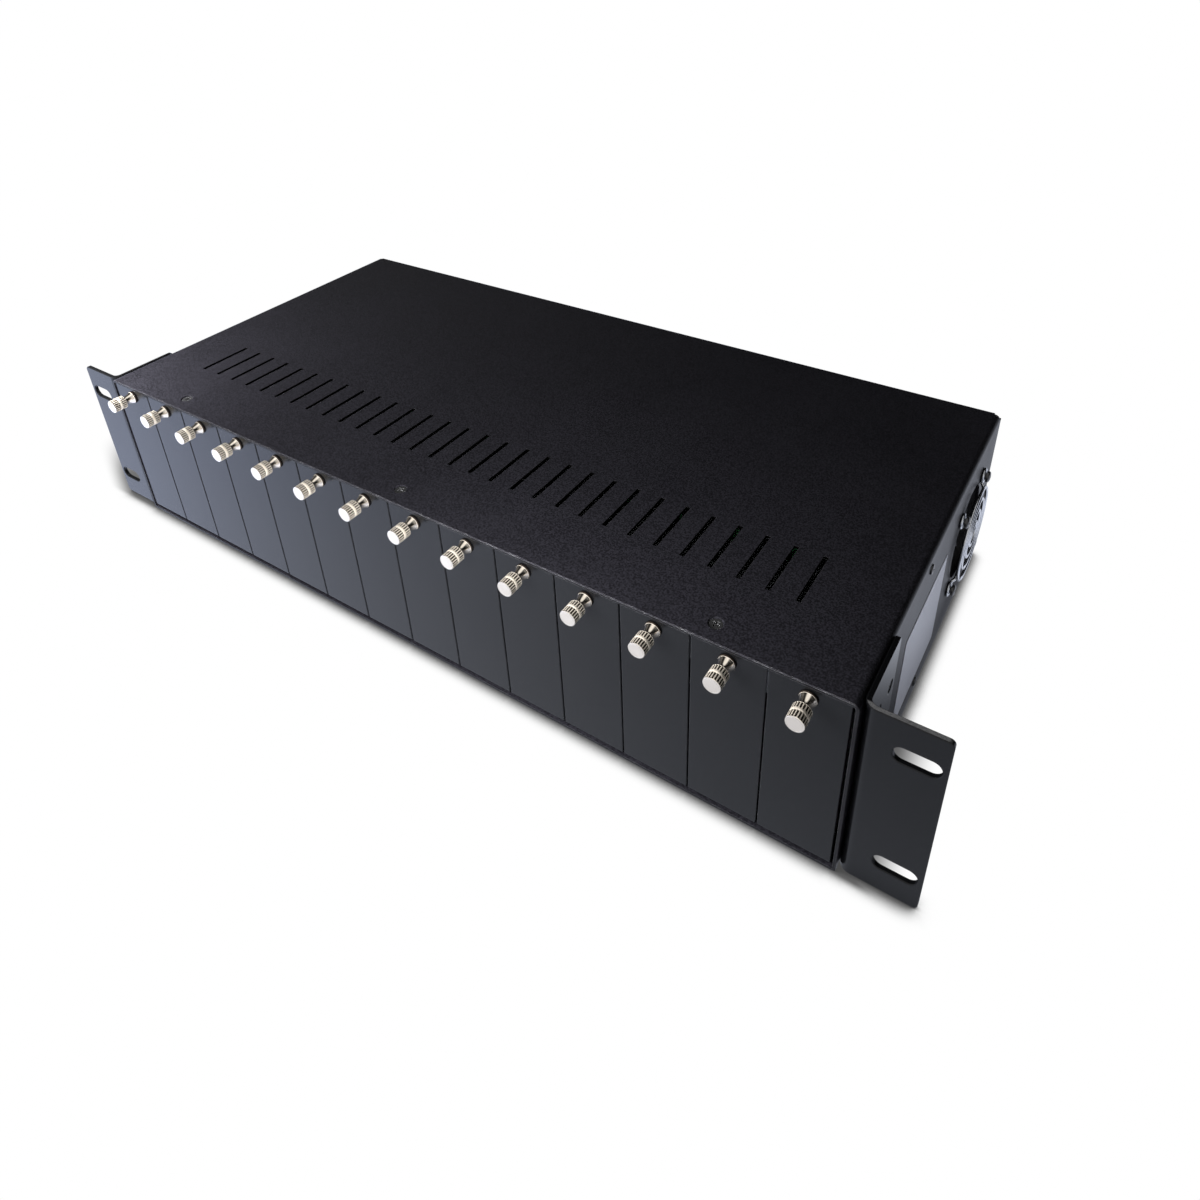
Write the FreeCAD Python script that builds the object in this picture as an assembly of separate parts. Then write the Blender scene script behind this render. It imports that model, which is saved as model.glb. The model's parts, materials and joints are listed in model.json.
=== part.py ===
"""Two-unit rack chassis for slide-in media converters, modelled piece by piece.

Millimetres. X runs to the right seen from the front, Y to the rear and Z up. The pieces are drawn
with the front plane at Y = 0 and the underside at Z = 0, and are moved to the frame's origin, the
centre of the underside of the whole object, when they are written out.
"""
import FreeCAD
import Part

import math
import os

from FreeCAD import Vector

# Whole body: a two-unit, nineteen-inch rack case.
BODY_WIDTH = 424.0
BODY_DEPTH = 206.0
BODY_HEIGHT = 88.0
SHEET = 1.2
BEND = 1.5
EDGE_ROUND = 0.35
FRONT_BREAK = 0.3
OVERRUN = 4.0

# Slots and their blank panels.
SLOT_COUNT = 14
SLOT_PITCH = 30.0
PANEL_GAP = 0.5
PANEL_SHEET = 1.5
PANEL_RECESS = 0.4
PANEL_CLEAR = 0.5
PANEL_FOOT = 12.0

# Captive thumb screws: sizes along the axis are measured outwards from the front plane.
SCREW_BELOW_TOP = 6.5
SCREW_REACH = 12.0
SCREW_HEAD_RADIUS = 3.5
SCREW_HEAD_LENGTH = 7.1
SCREW_RIM = 0.3
SCREW_GROOVE_RADIUS = 3.3
SCREW_GROOVE_WIDTH = 1.2
SCREW_GROOVE_AT = 8.1
SCREW_WAIST_RADIUS = 2.2
SCREW_FLARE = ((3.2, 0.7), (2.75, 1.6), (2.4, 2.9), (2.2, 4.1))
SCREW_COLLAR_RADIUS = 3.4
SCREW_COLLAR_START = 0.4
SCREW_SHANK_RADIUS = 1.5
SCREW_SHANK_LENGTH = 8.0
SCREW_PANEL_HOLE = 1.9
THREAD_CLEAR = 0.05
SEAT_CLEAR = 0.05

# Front rail behind the panels' top edge, and its pressed-in nuts.
RAIL_HEIGHT = 13.0
RAIL_FLANGE = 16.0
RAIL_END_CLEAR = 2.6
NUT_RADIUS = 2.5
NUT_LENGTH = 2.4
NUT_SIDES = 6

# Vents and screws in the top of the cover.
VENT_COUNT = 30
VENT_PITCH = 12.2
VENT_START = 34.0
VENT_LENGTH = 28.6
VENT_WIDTH = 2.1
TOP_SCREW_X = 156.0
TOP_SCREW_Y = 8.9
COVER_FLOOR_GAP = 0.3
REAR_LIP = 10.0
LIP_SCREW_X = 150.0

# Base tray.
TRAY_SIDE = 14.0
TRAY_NOTCH = 14.5
TRAY_RELIEF = 0.8
REAR_CORNER = 2.6

# Rack ears: folded plates screwed to the sides.
EAR_SPAN = 482.6
EAR_SHEET = 2.0
EAR_BEND = 2.6
EAR_SETBACK = 1.7
EAR_HEIGHT = 87.0
EAR_FLANGE_END = 38.0
EAR_CORNER = 2.0
EAR_SLOT_X = 231.5
EAR_SLOT_RISE = 57.0
EAR_SLOT_LENGTH = 16.0
EAR_SLOT_WIDTH = 7.0
EAR_SCREW_Y = (19.5, 32.5)
EAR_SCREW_Z = (21.0, 67.0)
EAR_SCREW_LENGTH = 4.5

# Machine screws by their shank radius, and pan heads in proportion to it.
M3 = 1.5
M4 = 2.0
HOLE_CLEAR = 0.2
PAN_RADIUS = 1.85
PAN_HEIGHT = 1.25
PAN_CROWN = 0.62
CONE_RADIUS = 1.78
CONE_DROP = 0.4
SCREW_LENGTH = 6.0
DRIVE_ARM = 1.1
DRIVE_SLIT = 0.3
DRIVE_DEPTH = 0.6

# Side screws that hold the bulkhead and the cover.
SIDE_SCREW_Y = 86.0
SIDE_SCREW_LOW_Y = 96.0
SIDE_SCREW_HIGH = 80.0
SIDE_SCREW_LOW = 7.5

# Slot guide on the tray floor.
GUIDE_SHEET = 1.0
GUIDE_START = 16.0
GUIDE_END = 92.0
GUIDE_RIB = 8.0
GUIDE_RIB_MARGIN = 6.0
GUIDE_WINDOW_GAP = 0.6

# Bulkhead behind the slots, and the power board on it.
BULKHEAD_Y = 100.0
BULKHEAD_FLANGE = 12.0
BULKHEAD_SIDE_CLEAR = 3.0
BULKHEAD_TONGUE = 18.0
PLUG_Z = 30.0
PLUG_HOLE_RADIUS = 5.0
PLUG_BASE_RADIUS = 4.4
PLUG_BARREL_RADIUS = 2.75
PLUG_BORE_RADIUS = 1.05
PLUG_BASE_FRONT = 97.5
PLUG_BARREL_LENGTH = 9.5
AIR_SLOT_Z = (44.0, 76.0)
AIR_SLOT_WIDTH = 6.0
BOARD_LENGTH = 408.0
BOARD_HEIGHT = 42.0
BOARD_BOTTOM = 12.0
BOARD_SHEET = 1.6
SPACER_LENGTH = 3.0
SPACER_RADIUS = 3.0
SPACER_X = (-195.0, -105.0, 0.0, 105.0, 195.0)
SPACER_INSET = 5.0

# Power supply in its own two-part case.
PSU_X = (-150.0, 8.0)
PSU_Y = (114.0, 198.0)
PSU_HEIGHT = 36.0
PSU_SHEET = 1.0
PSU_VENT_COUNT = 11
PSU_VENT_PITCH = 12.0
PSU_VENT_LENGTH = 50.0
PSU_VENT_WIDTH = 3.0
TERMINAL_X = 26.0
TERMINAL_Y = (126.0, 180.0)
TERMINAL_HEIGHT = 16.0
TERMINAL_WAYS = 5
TERMINAL_WALL = 1.4
TERMINAL_STEP = 7.0

# Mains inlet in the rear panel.
INLET_X = 110.0
INLET_Z = 44.0
INLET_BODY = (27.0, 19.6)
INLET_FLANGE = (50.0, 24.0)
INLET_FLANGE_SHEET = 3.5
INLET_FLANGE_ROUND = 5.0
INLET_DEPTH = 20.0
INLET_SOCKET = (24.0, 16.6)
INLET_SOCKET_DEPTH = 16.5
INLET_CHAMFER = 5.0
INLET_SCREW_SPACING = 40.0
INLET_PIN = (2.0, 4.0)
INLET_PIN_LENGTH = 14.0
INLET_PIN_X = 7.0
INLET_PIN_DROP = 2.0
INLET_TAB_LENGTH = 8.0

# Rocker switch beside the inlet.
SWITCH_X = 70.0
SWITCH_Z = 44.0
SWITCH_BEZEL = (15.0, 21.0)
SWITCH_BEZEL_SHEET = 1.8
SWITCH_BODY = (13.0, 19.2)
SWITCH_DEPTH = 13.0
SWITCH_OPENING = (10.6, 17.4)
SWITCH_POCKET = 9.0
ROCKER_WIDTH = 9.8
ROCKER_RADIUS = 8.3
ROCKER_HALF = 7.8
ROCKER_DIP = 1.5
ROCKER_PIVOT_DEPTH = 1.2
ROCKER_TILT = 9.0
ROCKER_AXLE_RADIUS = 1.2
ROCKER_AXLE_HOLE = 1.25
ROCKER_ROOT = 2.6
BEZEL_CORNER = 1.0

# Side fan with its wire guard.
FAN_Y = 160.0
FAN_Z = 47.0
FAN_SIZE = 50.0
FAN_THICK = 15.0
FAN_BORE_RADIUS = 23.5
FAN_HOLE_SPACING = 40.0
FAN_FLANGE = 3.5
FAN_CORNER = 3.5
FAN_HUB_RADIUS = 11.0
FAN_HUB_LENGTH = 10.5
FAN_HUB_CHAMFER = 1.0
FAN_SPIDER_RADIUS = 11.5
FAN_SPIDER_SHEET = 2.0
FAN_STRUT = 3.0
FAN_SHAFT_RADIUS = 1.5
FAN_SHAFT_LENGTH = 4.0
FAN_BEARING_RADIUS = 1.55
BLADE_COUNT = 7
BLADE_TIP_RADIUS = 22.6
BLADE_CHORD = (11.0, 15.0)
BLADE_PITCH = (52.0, 36.0)
BLADE_SWEEP = 24.0
BLADE_SHEET = 1.1
OPENING_RADIUS = 23.0
DIAGONALS = (45.0, 135.0)

# Wire guard.
WIRE_RADIUS = 0.9
WIRE_SIDES = 8
GUARD_STAND = 6.5
GUARD_RINGS = (6.0, 11.6, 17.2, 22.8)
GUARD_BEND = 2.0
GUARD_EYE_RADIUS = 3.2
GUARD_LAP = 1.6

# Rating sticker, left blank, on the right side.
STICKER_Y = (60.0, 120.0)
STICKER_Z = (13.5, 63.0)
STICKER_SHEET = 0.2
STICKER_CORNER = 1.5

# Earth stud on the rear panel.
EARTH_X = 150.0
EARTH_Z = 16.0
WASHER_RADIUS = 4.6
WASHER_SHEET = 0.8

# Internal leads.
LEAD_RADIUS = 1.1
LEAD_SIDES = 6
LEAD_BEND = 6.0
LEAD_LOW = 12.0
LEAD_TURN_Y = 160.0
LEAD_TURN_STEP = 8.0
SWITCH_TAB = 2.5
FEED_RISE_X = (40.0, 50.0)
FAN_LEAD_DROP = (-23.0, -14.0)
FAN_LEAD_TURN = 16.0

X = Vector(1, 0, 0)
Y = Vector(0, 1, 0)
Z = Vector(0, 0, 1)
REAR_FACE = BODY_DEPTH - SHEET
INNER_TOP = BODY_HEIGHT - SHEET
INNER_HALF = BODY_WIDTH / 2 - SHEET
SIDES = (-1, 1)
PANEL_BACK = PANEL_RECESS + PANEL_SHEET
SCREW_Z = BODY_HEIGHT - SCREW_BELOW_TOP
REAR_REACH = REAR_FACE + INLET_FLANGE_SHEET
TO_ORIGIN = Vector(0, (SCREW_REACH - REAR_REACH) / 2, 0)


def box(x, y, z):
    """Block between two limits on each axis."""
    return Part.makeBox(x[1] - x[0], y[1] - y[0], z[1] - z[0], Vector(x[0], y[0], z[0]))


def rod(start, axis, length, radius):
    """Round bar from a point along a direction."""
    return Part.makeCylinder(radius, length, start, axis)


def turned(profile, place, axis):
    """Turned solid from (radius, distance) points, the distance running along the axis from a place."""
    rim = [Vector(radius, 0, along) for radius, along in profile]
    start = Vector(0, 0, profile[0][1])
    end = Vector(0, 0, profile[-1][1])
    face = Part.Face(Part.makePolygon([start] + rim + [end, start]))
    solid = face.revolve(Vector(), Z, 360)
    solid.Placement = FreeCAD.Placement(place, FreeCAD.Rotation(Z, axis))
    return solid


def ring(place, axis, outer, inner, length):
    """Tube or washer."""
    return rod(place, axis, length, outer).cut(rod(place, axis, length, inner))


def obround(centre, run, axis, length, width, depth):
    """Straight slot with round ends, along run and cut along axis."""
    radius = width / 2
    half = run * (length / 2 - radius)
    side = axis.cross(run) * radius
    tip = run * (length / 2)
    outline = [
        Part.LineSegment(centre + half + side, centre - half + side),
        Part.Arc(centre - half + side, centre - tip, centre - half - side),
        Part.LineSegment(centre - half - side, centre + half - side),
        Part.Arc(centre + half - side, centre + tip, centre + half + side),
    ]
    return Part.Face(Part.Wire([edge.toShape() for edge in outline])).extrude(axis * depth)


def bent_sheet(path, thickness, radius, to_space, run):
    """Folded sheet: a middle line of (u, v) points with round bends, thickened and drawn along run."""
    half = thickness / 2
    middle = radius + half
    sides = {half: [], -half: []}
    points = [Vector(u, v, 0) for u, v in path]
    starts = {offset: None for offset in sides}
    for index, point in enumerate(points):
        before = point - points[index - 1] if index else points[1] - point
        after = points[index + 1] - point if index + 1 < len(points) else before
        before.normalize()
        after.normalize()
        turn = math.atan2(before.cross(after).z, before.dot(after))
        reach = middle * math.tan(abs(turn) / 2)
        sign = math.copysign(1, turn)
        centre = point - before * reach + Z.cross(before) * sign * middle
        for offset, edges in sides.items():
            entry = point - before * reach + Z.cross(before) * offset
            leave = point + after * reach + Z.cross(after) * offset
            if starts[offset] is not None:
                edges.append((starts[offset], entry))
            if reach:
                outward = (point - centre).normalize()
                edges.append((entry, centre + outward * (middle - sign * offset), leave))
            starts[offset] = leave
    left = sides[half]
    right = [tuple(reversed(edge)) for edge in reversed(sides[-half])]
    loop = left + [(left[-1][-1], right[0][0])] + right + [(right[-1][-1], left[0][0])]
    outline = []
    for edge in loop:
        spots = [to_space(spot.x, spot.y) for spot in edge]
        curve = Part.Arc(*spots) if len(spots) == 3 else Part.LineSegment(*spots)
        outline.append(curve.toShape())
    return Part.Face(Part.Wire(outline)).extrude(run)


def rounded_plate(centre, size, corner, axis, depth):
    """Plate of (width, height) with round corners, drawn along a horizontal axis."""
    across = axis.cross(Z) * (size[0] / 2 - corner)
    up = Z * (size[1] / 2 - corner)
    plain = [centre + across + up, centre - across + up, centre - across - up, centre + across - up]
    core = Part.Face(Part.makePolygon(plain + plain[:1]))
    return core.makeOffset2D(corner).extrude(axis * depth)


def many_sided(place, axis, radius, sides):
    """Regular polygon square to an axis."""
    turn = FreeCAD.Rotation(Z, axis)
    step = 2 * math.pi / sides
    spokes = [Vector(math.cos(step * index), math.sin(step * index), 0) for index in range(sides)]
    rim = [place + turn.multVec(spoke * radius) for spoke in spokes]
    return Part.makePolygon(rim + rim[:1])


def cross_recess(seat, axis, shank):
    """Cross-shaped driver recess cut into a screw's head."""
    arm = shank * DRIVE_ARM
    slit = shank * DRIVE_SLIT
    depth = shank * DRIVE_DEPTH
    bar = box((-arm, arm), (-slit, slit), (-depth, depth))
    other = box((-slit, slit), (-arm, arm), (-depth, depth))
    recess = bar.fuse(other)
    recess.Placement = FreeCAD.Placement(seat, FreeCAD.Rotation(Z, axis))
    return recess


def pan_screw(seat, axis, shank, length):
    """Pan-head screw seated on a face, its head standing out along the axis."""
    height = shank * PAN_HEIGHT
    head = shank * PAN_RADIUS
    profile = [
        (shank, -length),
        (shank, 0),
        (head, 0),
        (head, height * PAN_CROWN),
        (head * PAN_CROWN, height),
    ]
    screw = turned(profile, seat, axis)
    return screw.cut(cross_recess(seat + axis * height, axis, shank))


def sunk_screw(seat, axis, shank, length):
    """Countersunk screw whose flat head lies a little below a face."""
    head = shank * CONE_RADIUS
    profile = [(shank, -length), (shank, shank - head - CONE_DROP), (head, -CONE_DROP)]
    screw = turned(profile, seat, axis)
    return screw.cut(cross_recess(seat - axis * CONE_DROP, axis, shank))


def sunk_hole(seat, axis, shank, length):
    """Countersunk clearance hole, to be cut, for such a screw."""
    mouth = shank * CONE_RADIUS + CONE_DROP
    hole = shank + HOLE_CLEAR
    return turned([(hole, -length), (hole, hole - mouth), (mouth, 0)], seat, axis)


def wire_along(points, radius, bend, sides):
    """Wire or lead through points, with round bends at the inner ones and a many-sided section."""
    edges = []
    start = points[0]
    for before, corner, after in zip(points, points[1:], points[2:]):
        inward = (before - corner).normalize()
        outward = (after - corner).normalize()
        opening = inward.getAngle(outward)
        reach = bend / math.tan(opening / 2)
        bisector = (inward + outward).normalize()
        middle = corner + bisector * (bend / math.sin(opening / 2) - bend)
        entry = corner + inward * reach
        leave = corner + outward * reach
        edges.append(Part.LineSegment(start, entry).toShape())
        edges.append(Part.Arc(entry, middle, leave).toShape())
        start = leave
    edges.append(Part.LineSegment(start, points[-1]).toShape())
    path = Part.Wire(edges)
    section = many_sided(points[0], points[1] - points[0], radius, sides)
    return path.makePipeShell([section], True, False)


def wire_ring(centre, radius):
    """Ring of guard wire round the X direction."""
    section = many_sided(centre + Y * radius, Z, WIRE_RADIUS, WIRE_SIDES)
    return Part.Face(section).revolve(centre, X, 360)


def slot_centres():
    """Middle of each slot across the front, left to right."""
    return [(index - (SLOT_COUNT - 1) / 2) * SLOT_PITCH for index in range(SLOT_COUNT)]


def corners(half_u, half_v):
    """Four signed corner offsets."""
    return [(left * half_u, low * half_v) for left in SIDES for low in SIDES]


def top_screw_seats():
    """Countersunk screws along the cover's front edge."""
    return [Vector(x, TOP_SCREW_Y, BODY_HEIGHT) for x in (-TOP_SCREW_X, 0, TOP_SCREW_X)]


def side_screw_seats():
    """Cover screws on the two sides, each with its outward direction."""
    spots = ((SIDE_SCREW_Y, SIDE_SCREW_HIGH), (SIDE_SCREW_LOW_Y, SIDE_SCREW_LOW))
    return [(Vector(side * BODY_WIDTH / 2, y, z), X * side) for side in SIDES for y, z in spots]


def ear_screw_seats(side):
    """Screws that hold one ear's flange, on the flange's outer face."""
    face = side * (BODY_WIDTH / 2 + EAR_SHEET)
    return [Vector(face, y, z) for y in EAR_SCREW_Y for z in EAR_SCREW_Z]


def lip_screw_seats():
    """Screws through the cover's rear lip into the rear panel."""
    height = BODY_HEIGHT - REAR_LIP / 2 - SHEET
    return [Vector(x, BODY_DEPTH, height) for x in (-LIP_SCREW_X, 0, LIP_SCREW_X)]


def fan_hole_spots():
    """The fan's four fixing holes as (y, z)."""
    half = FAN_HOLE_SPACING / 2
    return [(FAN_Y + dy, FAN_Z + dz) for dy, dz in corners(half, half)]


def hole_through(place, axis, radius):
    """Round hole, to be cut, through the wall at a place."""
    return rod(place - axis * OVERRUN, axis, 2 * OVERRUN, radius)


def outer_front_edges(cover):
    """The cover's front edge on its outer side, all the way round."""
    front = [edge for edge in cover.Edges if edge.BoundBox.YMax < FRONT_BREAK and edge.Length > BEND]
    return [
        edge for edge in front
        if edge.BoundBox.ZMax > BODY_HEIGHT - FRONT_BREAK
        or max(-edge.BoundBox.XMin, edge.BoundBox.XMax) > BODY_WIDTH / 2 - FRONT_BREAK
    ]


def make_top_cover():
    """Top and both sides folded from one sheet, with a rear lip, vents and the fan opening."""
    wall = (BODY_WIDTH - SHEET) / 2
    roof = BODY_HEIGHT - SHEET / 2
    path = [(-wall, COVER_FLOOR_GAP), (-wall, roof), (wall, roof), (wall, COVER_FLOOR_GAP)]
    relief = BEND + SHEET + EDGE_ROUND
    front_part = BODY_DEPTH - relief
    cover = bent_sheet(path, SHEET, BEND, lambda u, v: Vector(u, 0, v), Y * front_part)
    lip_path = [(front_part - SHEET, roof), (BODY_DEPTH - SHEET / 2, roof),
                (BODY_DEPTH - SHEET / 2, BODY_HEIGHT - REAR_LIP - SHEET)]
    half = BODY_WIDTH / 2 - relief
    lip = bent_sheet(lip_path, SHEET, BEND, lambda u, v: Vector(-half, u, v), X * (2 * half))
    skirts = [
        box(sorted((side * INNER_HALF, side * BODY_WIDTH / 2)), (front_part, BODY_DEPTH),
            (COVER_FLOOR_GAP, BODY_HEIGHT - relief))
        for side in SIDES
    ]
    cover = cover.fuse([lip] + skirts).removeSplitter()
    cover = cover.makeChamfer(FRONT_BREAK, outer_front_edges(cover))
    cuts = []
    for index in range(VENT_COUNT):
        left = (index - (VENT_COUNT - 1) / 2) * VENT_PITCH - VENT_WIDTH / 2
        cuts.append(box((left, left + VENT_WIDTH), (VENT_START, VENT_START + VENT_LENGTH),
                        (BODY_HEIGHT - OVERRUN, BODY_HEIGHT + OVERRUN)))
    cuts += [sunk_hole(seat, Z, M3, OVERRUN) for seat in top_screw_seats()]
    cuts += [hole_through(seat, out, M3 + HOLE_CLEAR) for seat, out in side_screw_seats()]
    for side in SIDES:
        cuts += [hole_through(seat, X, M3 + HOLE_CLEAR) for seat in ear_screw_seats(side)]
    cuts += [hole_through(seat, Y, M3 + HOLE_CLEAR) for seat in lip_screw_seats()]
    cuts.append(hole_through(Vector(BODY_WIDTH / 2, FAN_Y, FAN_Z), X, OPENING_RADIUS))
    for y, z in fan_hole_spots():
        cuts.append(hole_through(Vector(BODY_WIDTH / 2, y, z), X, M3 + HOLE_CLEAR))
    return cover.cut(cuts)


def make_base_tray():
    """Floor with low side walls and the full-height rear panel folded up from it."""
    half = INNER_HALF - SHEET / 2
    rear_start = REAR_FACE - SHEET - BEND
    path = [(-half, TRAY_SIDE), (-half, SHEET / 2), (half, SHEET / 2), (half, TRAY_SIDE)]
    floor = bent_sheet(path, SHEET, BEND, lambda u, v: Vector(u, 0, v), Y * rear_start)
    fold = INNER_HALF - SHEET - BEND
    notches = [
        box(sorted((side * fold, side * BODY_WIDTH / 2)), (0, TRAY_NOTCH), (0, TRAY_SIDE))
        for side in SIDES
    ]
    front_strip = box((-INNER_HALF, INNER_HALF), (0, TRAY_NOTCH - TRAY_RELIEF), (0, SHEET))
    floor = floor.cut(notches).fuse(front_strip)
    back = REAR_FACE - SHEET / 2
    back_top = INNER_TOP - BEND - HOLE_CLEAR
    back_path = [(rear_start - SHEET, SHEET / 2), (back, SHEET / 2), (back, back_top)]
    panel = bent_sheet(back_path, SHEET, BEND, lambda u, v: Vector(-fold, u, v), X * (2 * fold))
    wide = box((-INNER_HALF, INNER_HALF), (REAR_FACE - SHEET, REAR_FACE), (TRAY_SIDE, back_top))
    top_corners = [edge for edge in wide.Edges
                   if edge.BoundBox.ZMin > back_top - SHEET / 2 and edge.BoundBox.XLength < SHEET]
    wide = wide.makeFillet(REAR_CORNER, top_corners)
    tray = floor.fuse([panel, wide]).removeSplitter()
    through = REAR_FACE - OVERRUN
    inlet_hole = [side + HOLE_CLEAR for side in INLET_BODY]
    switch_hole = [side + HOLE_CLEAR for side in SWITCH_BODY]
    cuts = [
        rounded_plate(Vector(INLET_X, through, INLET_Z), inlet_hole, EDGE_ROUND, Y, 2 * OVERRUN),
        rounded_plate(Vector(SWITCH_X, through, SWITCH_Z), switch_hole, EDGE_ROUND, Y, 2 * OVERRUN),
        hole_through(Vector(EARTH_X, REAR_FACE, EARTH_Z), Y, M4 + HOLE_CLEAR),
    ]
    tapped = [Vector(seat.x, REAR_FACE, seat.z) for seat in inlet_screw_seats() + lip_screw_seats()]
    cuts += [hole_through(spot, Y, M3 + THREAD_CLEAR) for spot in tapped]
    cuts += [hole_through(seat, out, M3 + THREAD_CLEAR) for seat, out in side_screw_seats()]
    return tray.cut(cuts)


def make_front_rail():
    """Angle under the cover's front edge that the thumb screws thread into."""
    web = PANEL_BACK + SEAT_CLEAR + SHEET / 2
    roof = INNER_TOP - SHEET / 2
    half = INNER_HALF - RAIL_END_CLEAR
    path = [(web, roof - RAIL_HEIGHT), (web, roof), (web + RAIL_FLANGE, roof)]
    rail = bent_sheet(path, SHEET, BEND, lambda u, v: Vector(-half, u, v), X * (2 * half))
    thread = SCREW_SHANK_RADIUS + THREAD_CLEAR
    cuts = [hole_through(Vector(x, web, SCREW_Z), Y, thread) for x in slot_centres()]
    cuts += [sunk_hole(seat, Z, M3, OVERRUN) for seat in top_screw_seats()]
    return rail.cut(cuts)


def make_clinch_nuts():
    """Pressed-in nuts on the back of the front rail, one per slot."""
    back = PANEL_BACK + SEAT_CLEAR + SHEET
    return [
        ring(Vector(x, back, SCREW_Z), Y, NUT_RADIUS, SCREW_SHANK_RADIUS + THREAD_CLEAR, NUT_LENGTH)
        for x in slot_centres()
    ]


def make_blank_panel(x):
    """Blank slot panel with a foot folded back along the floor and softly broken front edges."""
    bottom = SHEET + PANEL_CLEAR
    top = INNER_TOP - PANEL_CLEAR
    width = SLOT_PITCH - PANEL_GAP
    face = PANEL_RECESS + PANEL_SHEET / 2
    foot = bottom + PANEL_SHEET / 2
    path = [(face, top), (face, foot), (face + PANEL_FOOT, foot)]
    panel = bent_sheet(path, PANEL_SHEET, EDGE_ROUND, lambda u, v: Vector(x - width / 2, u, v), X * width)
    front_edges = [edge for edge in panel.Edges
                   if edge.BoundBox.YMax < PANEL_RECESS + EDGE_ROUND and edge.BoundBox.ZLength > PANEL_FOOT]
    panel = panel.makeChamfer(EDGE_ROUND, front_edges)
    return panel.cut(rod(Vector(x, 0, SCREW_Z), Y, PANEL_BACK, SCREW_PANEL_HOLE))


def make_thumb_screw(x):
    """Captive thumb screw: grooved head, narrow waist, trumpet flare, collar and threaded shank."""
    head_back = SCREW_REACH - SCREW_HEAD_LENGTH
    groove = SCREW_GROOVE_WIDTH / 2
    seat = -PANEL_RECESS + SEAT_CLEAR
    profile = [
        (SCREW_SHANK_RADIUS, -PANEL_BACK - SCREW_SHANK_LENGTH),
        (SCREW_SHANK_RADIUS, seat),
        (SCREW_COLLAR_RADIUS, seat),
        (SCREW_COLLAR_RADIUS, SCREW_COLLAR_START),
        *SCREW_FLARE,
        (SCREW_WAIST_RADIUS, head_back),
        (SCREW_HEAD_RADIUS - SCREW_RIM, head_back),
        (SCREW_HEAD_RADIUS, head_back + SCREW_RIM),
        (SCREW_HEAD_RADIUS, SCREW_GROOVE_AT - groove),
        (SCREW_GROOVE_RADIUS, SCREW_GROOVE_AT - groove),
        (SCREW_GROOVE_RADIUS, SCREW_GROOVE_AT + groove),
        (SCREW_HEAD_RADIUS, SCREW_GROOVE_AT + groove),
        (SCREW_HEAD_RADIUS, SCREW_REACH - SCREW_RIM),
        (SCREW_HEAD_RADIUS - SCREW_RIM, SCREW_REACH),
    ]
    return turned(profile, Vector(x, 0, SCREW_Z), -Y)


def make_slot_guide():
    """Floor plate with a lanced, folded-up rib on each line between two slots."""
    half = INNER_HALF - SHEET - BEND
    floor = (SHEET, SHEET + GUIDE_SHEET)
    plate = box((-half, half), (GUIDE_START, GUIDE_END), floor)
    run = (GUIDE_START + GUIDE_RIB_MARGIN, GUIDE_END - GUIDE_RIB_MARGIN)
    ribs = []
    windows = []
    for left in slot_centres()[:-1]:
        line = left + SLOT_PITCH / 2
        edge = line - GUIDE_SHEET / 2
        ribs.append(box((edge, edge + GUIDE_SHEET), run, (SHEET, SHEET + GUIDE_RIB)))
        windows.append(box((edge + GUIDE_SHEET, edge + GUIDE_RIB),
                           (run[0] - GUIDE_WINDOW_GAP, run[1] + GUIDE_WINDOW_GAP), (0, OVERRUN)))
    return plate.cut(windows).fuse(ribs).removeSplitter()


def make_bulkhead():
    """Cross wall behind the slots, flanged on all four edges, with plug holes and air slots."""
    web = BULKHEAD_Y + SHEET / 2
    low = SHEET + SHEET / 2
    high = INNER_TOP - SHEET / 2
    half = INNER_HALF - BULKHEAD_SIDE_CLEAR
    path = [(web + BULKHEAD_FLANGE, low), (web, low), (web, high), (web + BULKHEAD_FLANGE, high)]
    wall = bent_sheet(path, SHEET, BEND, lambda u, v: Vector(-half, u, v), X * (2 * half))
    flange_z = (TRAY_SIDE + SHEET, INNER_TOP - REAR_CORNER)
    flanges = []
    for side in SIDES:
        edge = side * (INNER_HALF - SHEET / 2)
        turn = [(edge, web - BULKHEAD_TONGUE), (edge, web), (edge - side * 2 * BULKHEAD_SIDE_CLEAR, web)]
        flanges.append(bent_sheet(turn, SHEET, BEND, lambda u, v: Vector(u, v, flange_z[0]),
                                  Z * (flange_z[1] - flange_z[0])))
    wall = wall.fuse(flanges).removeSplitter()
    cuts = [hole_through(Vector(x, web, PLUG_Z), Y, PLUG_HOLE_RADIUS) for x in slot_centres()]
    for left in slot_centres()[:-1]:
        middle = Vector(left + SLOT_PITCH / 2, web - OVERRUN, sum(AIR_SLOT_Z) / 2)
        cuts.append(obround(middle, Z, Y, AIR_SLOT_Z[1] - AIR_SLOT_Z[0], AIR_SLOT_WIDTH, 2 * OVERRUN))
    cuts += [hole_through(seat, out, M3 + THREAD_CLEAR) for seat, out in side_screw_seats()]
    return wall.cut(cuts)


def board_front():
    """Front face of the power board, one spacer behind the bulkhead."""
    return BULKHEAD_Y + SHEET + SPACER_LENGTH


def make_power_board():
    """Circuit board that carries the plugs."""
    front = board_front()
    half = BOARD_LENGTH / 2
    return box((-half, half), (front, front + BOARD_SHEET), (BOARD_BOTTOM, BOARD_BOTTOM + BOARD_HEIGHT))


def make_board_spacers():
    """Round spacers between the bulkhead and the board."""
    heights = (BOARD_BOTTOM + SPACER_INSET, BOARD_BOTTOM + BOARD_HEIGHT - SPACER_INSET)
    back = BULKHEAD_Y + SHEET
    spots = [Vector(x, back, z) for x in SPACER_X for z in heights]
    return [ring(spot, Y, SPACER_RADIUS, M3, SPACER_LENGTH) for spot in spots]


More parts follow.
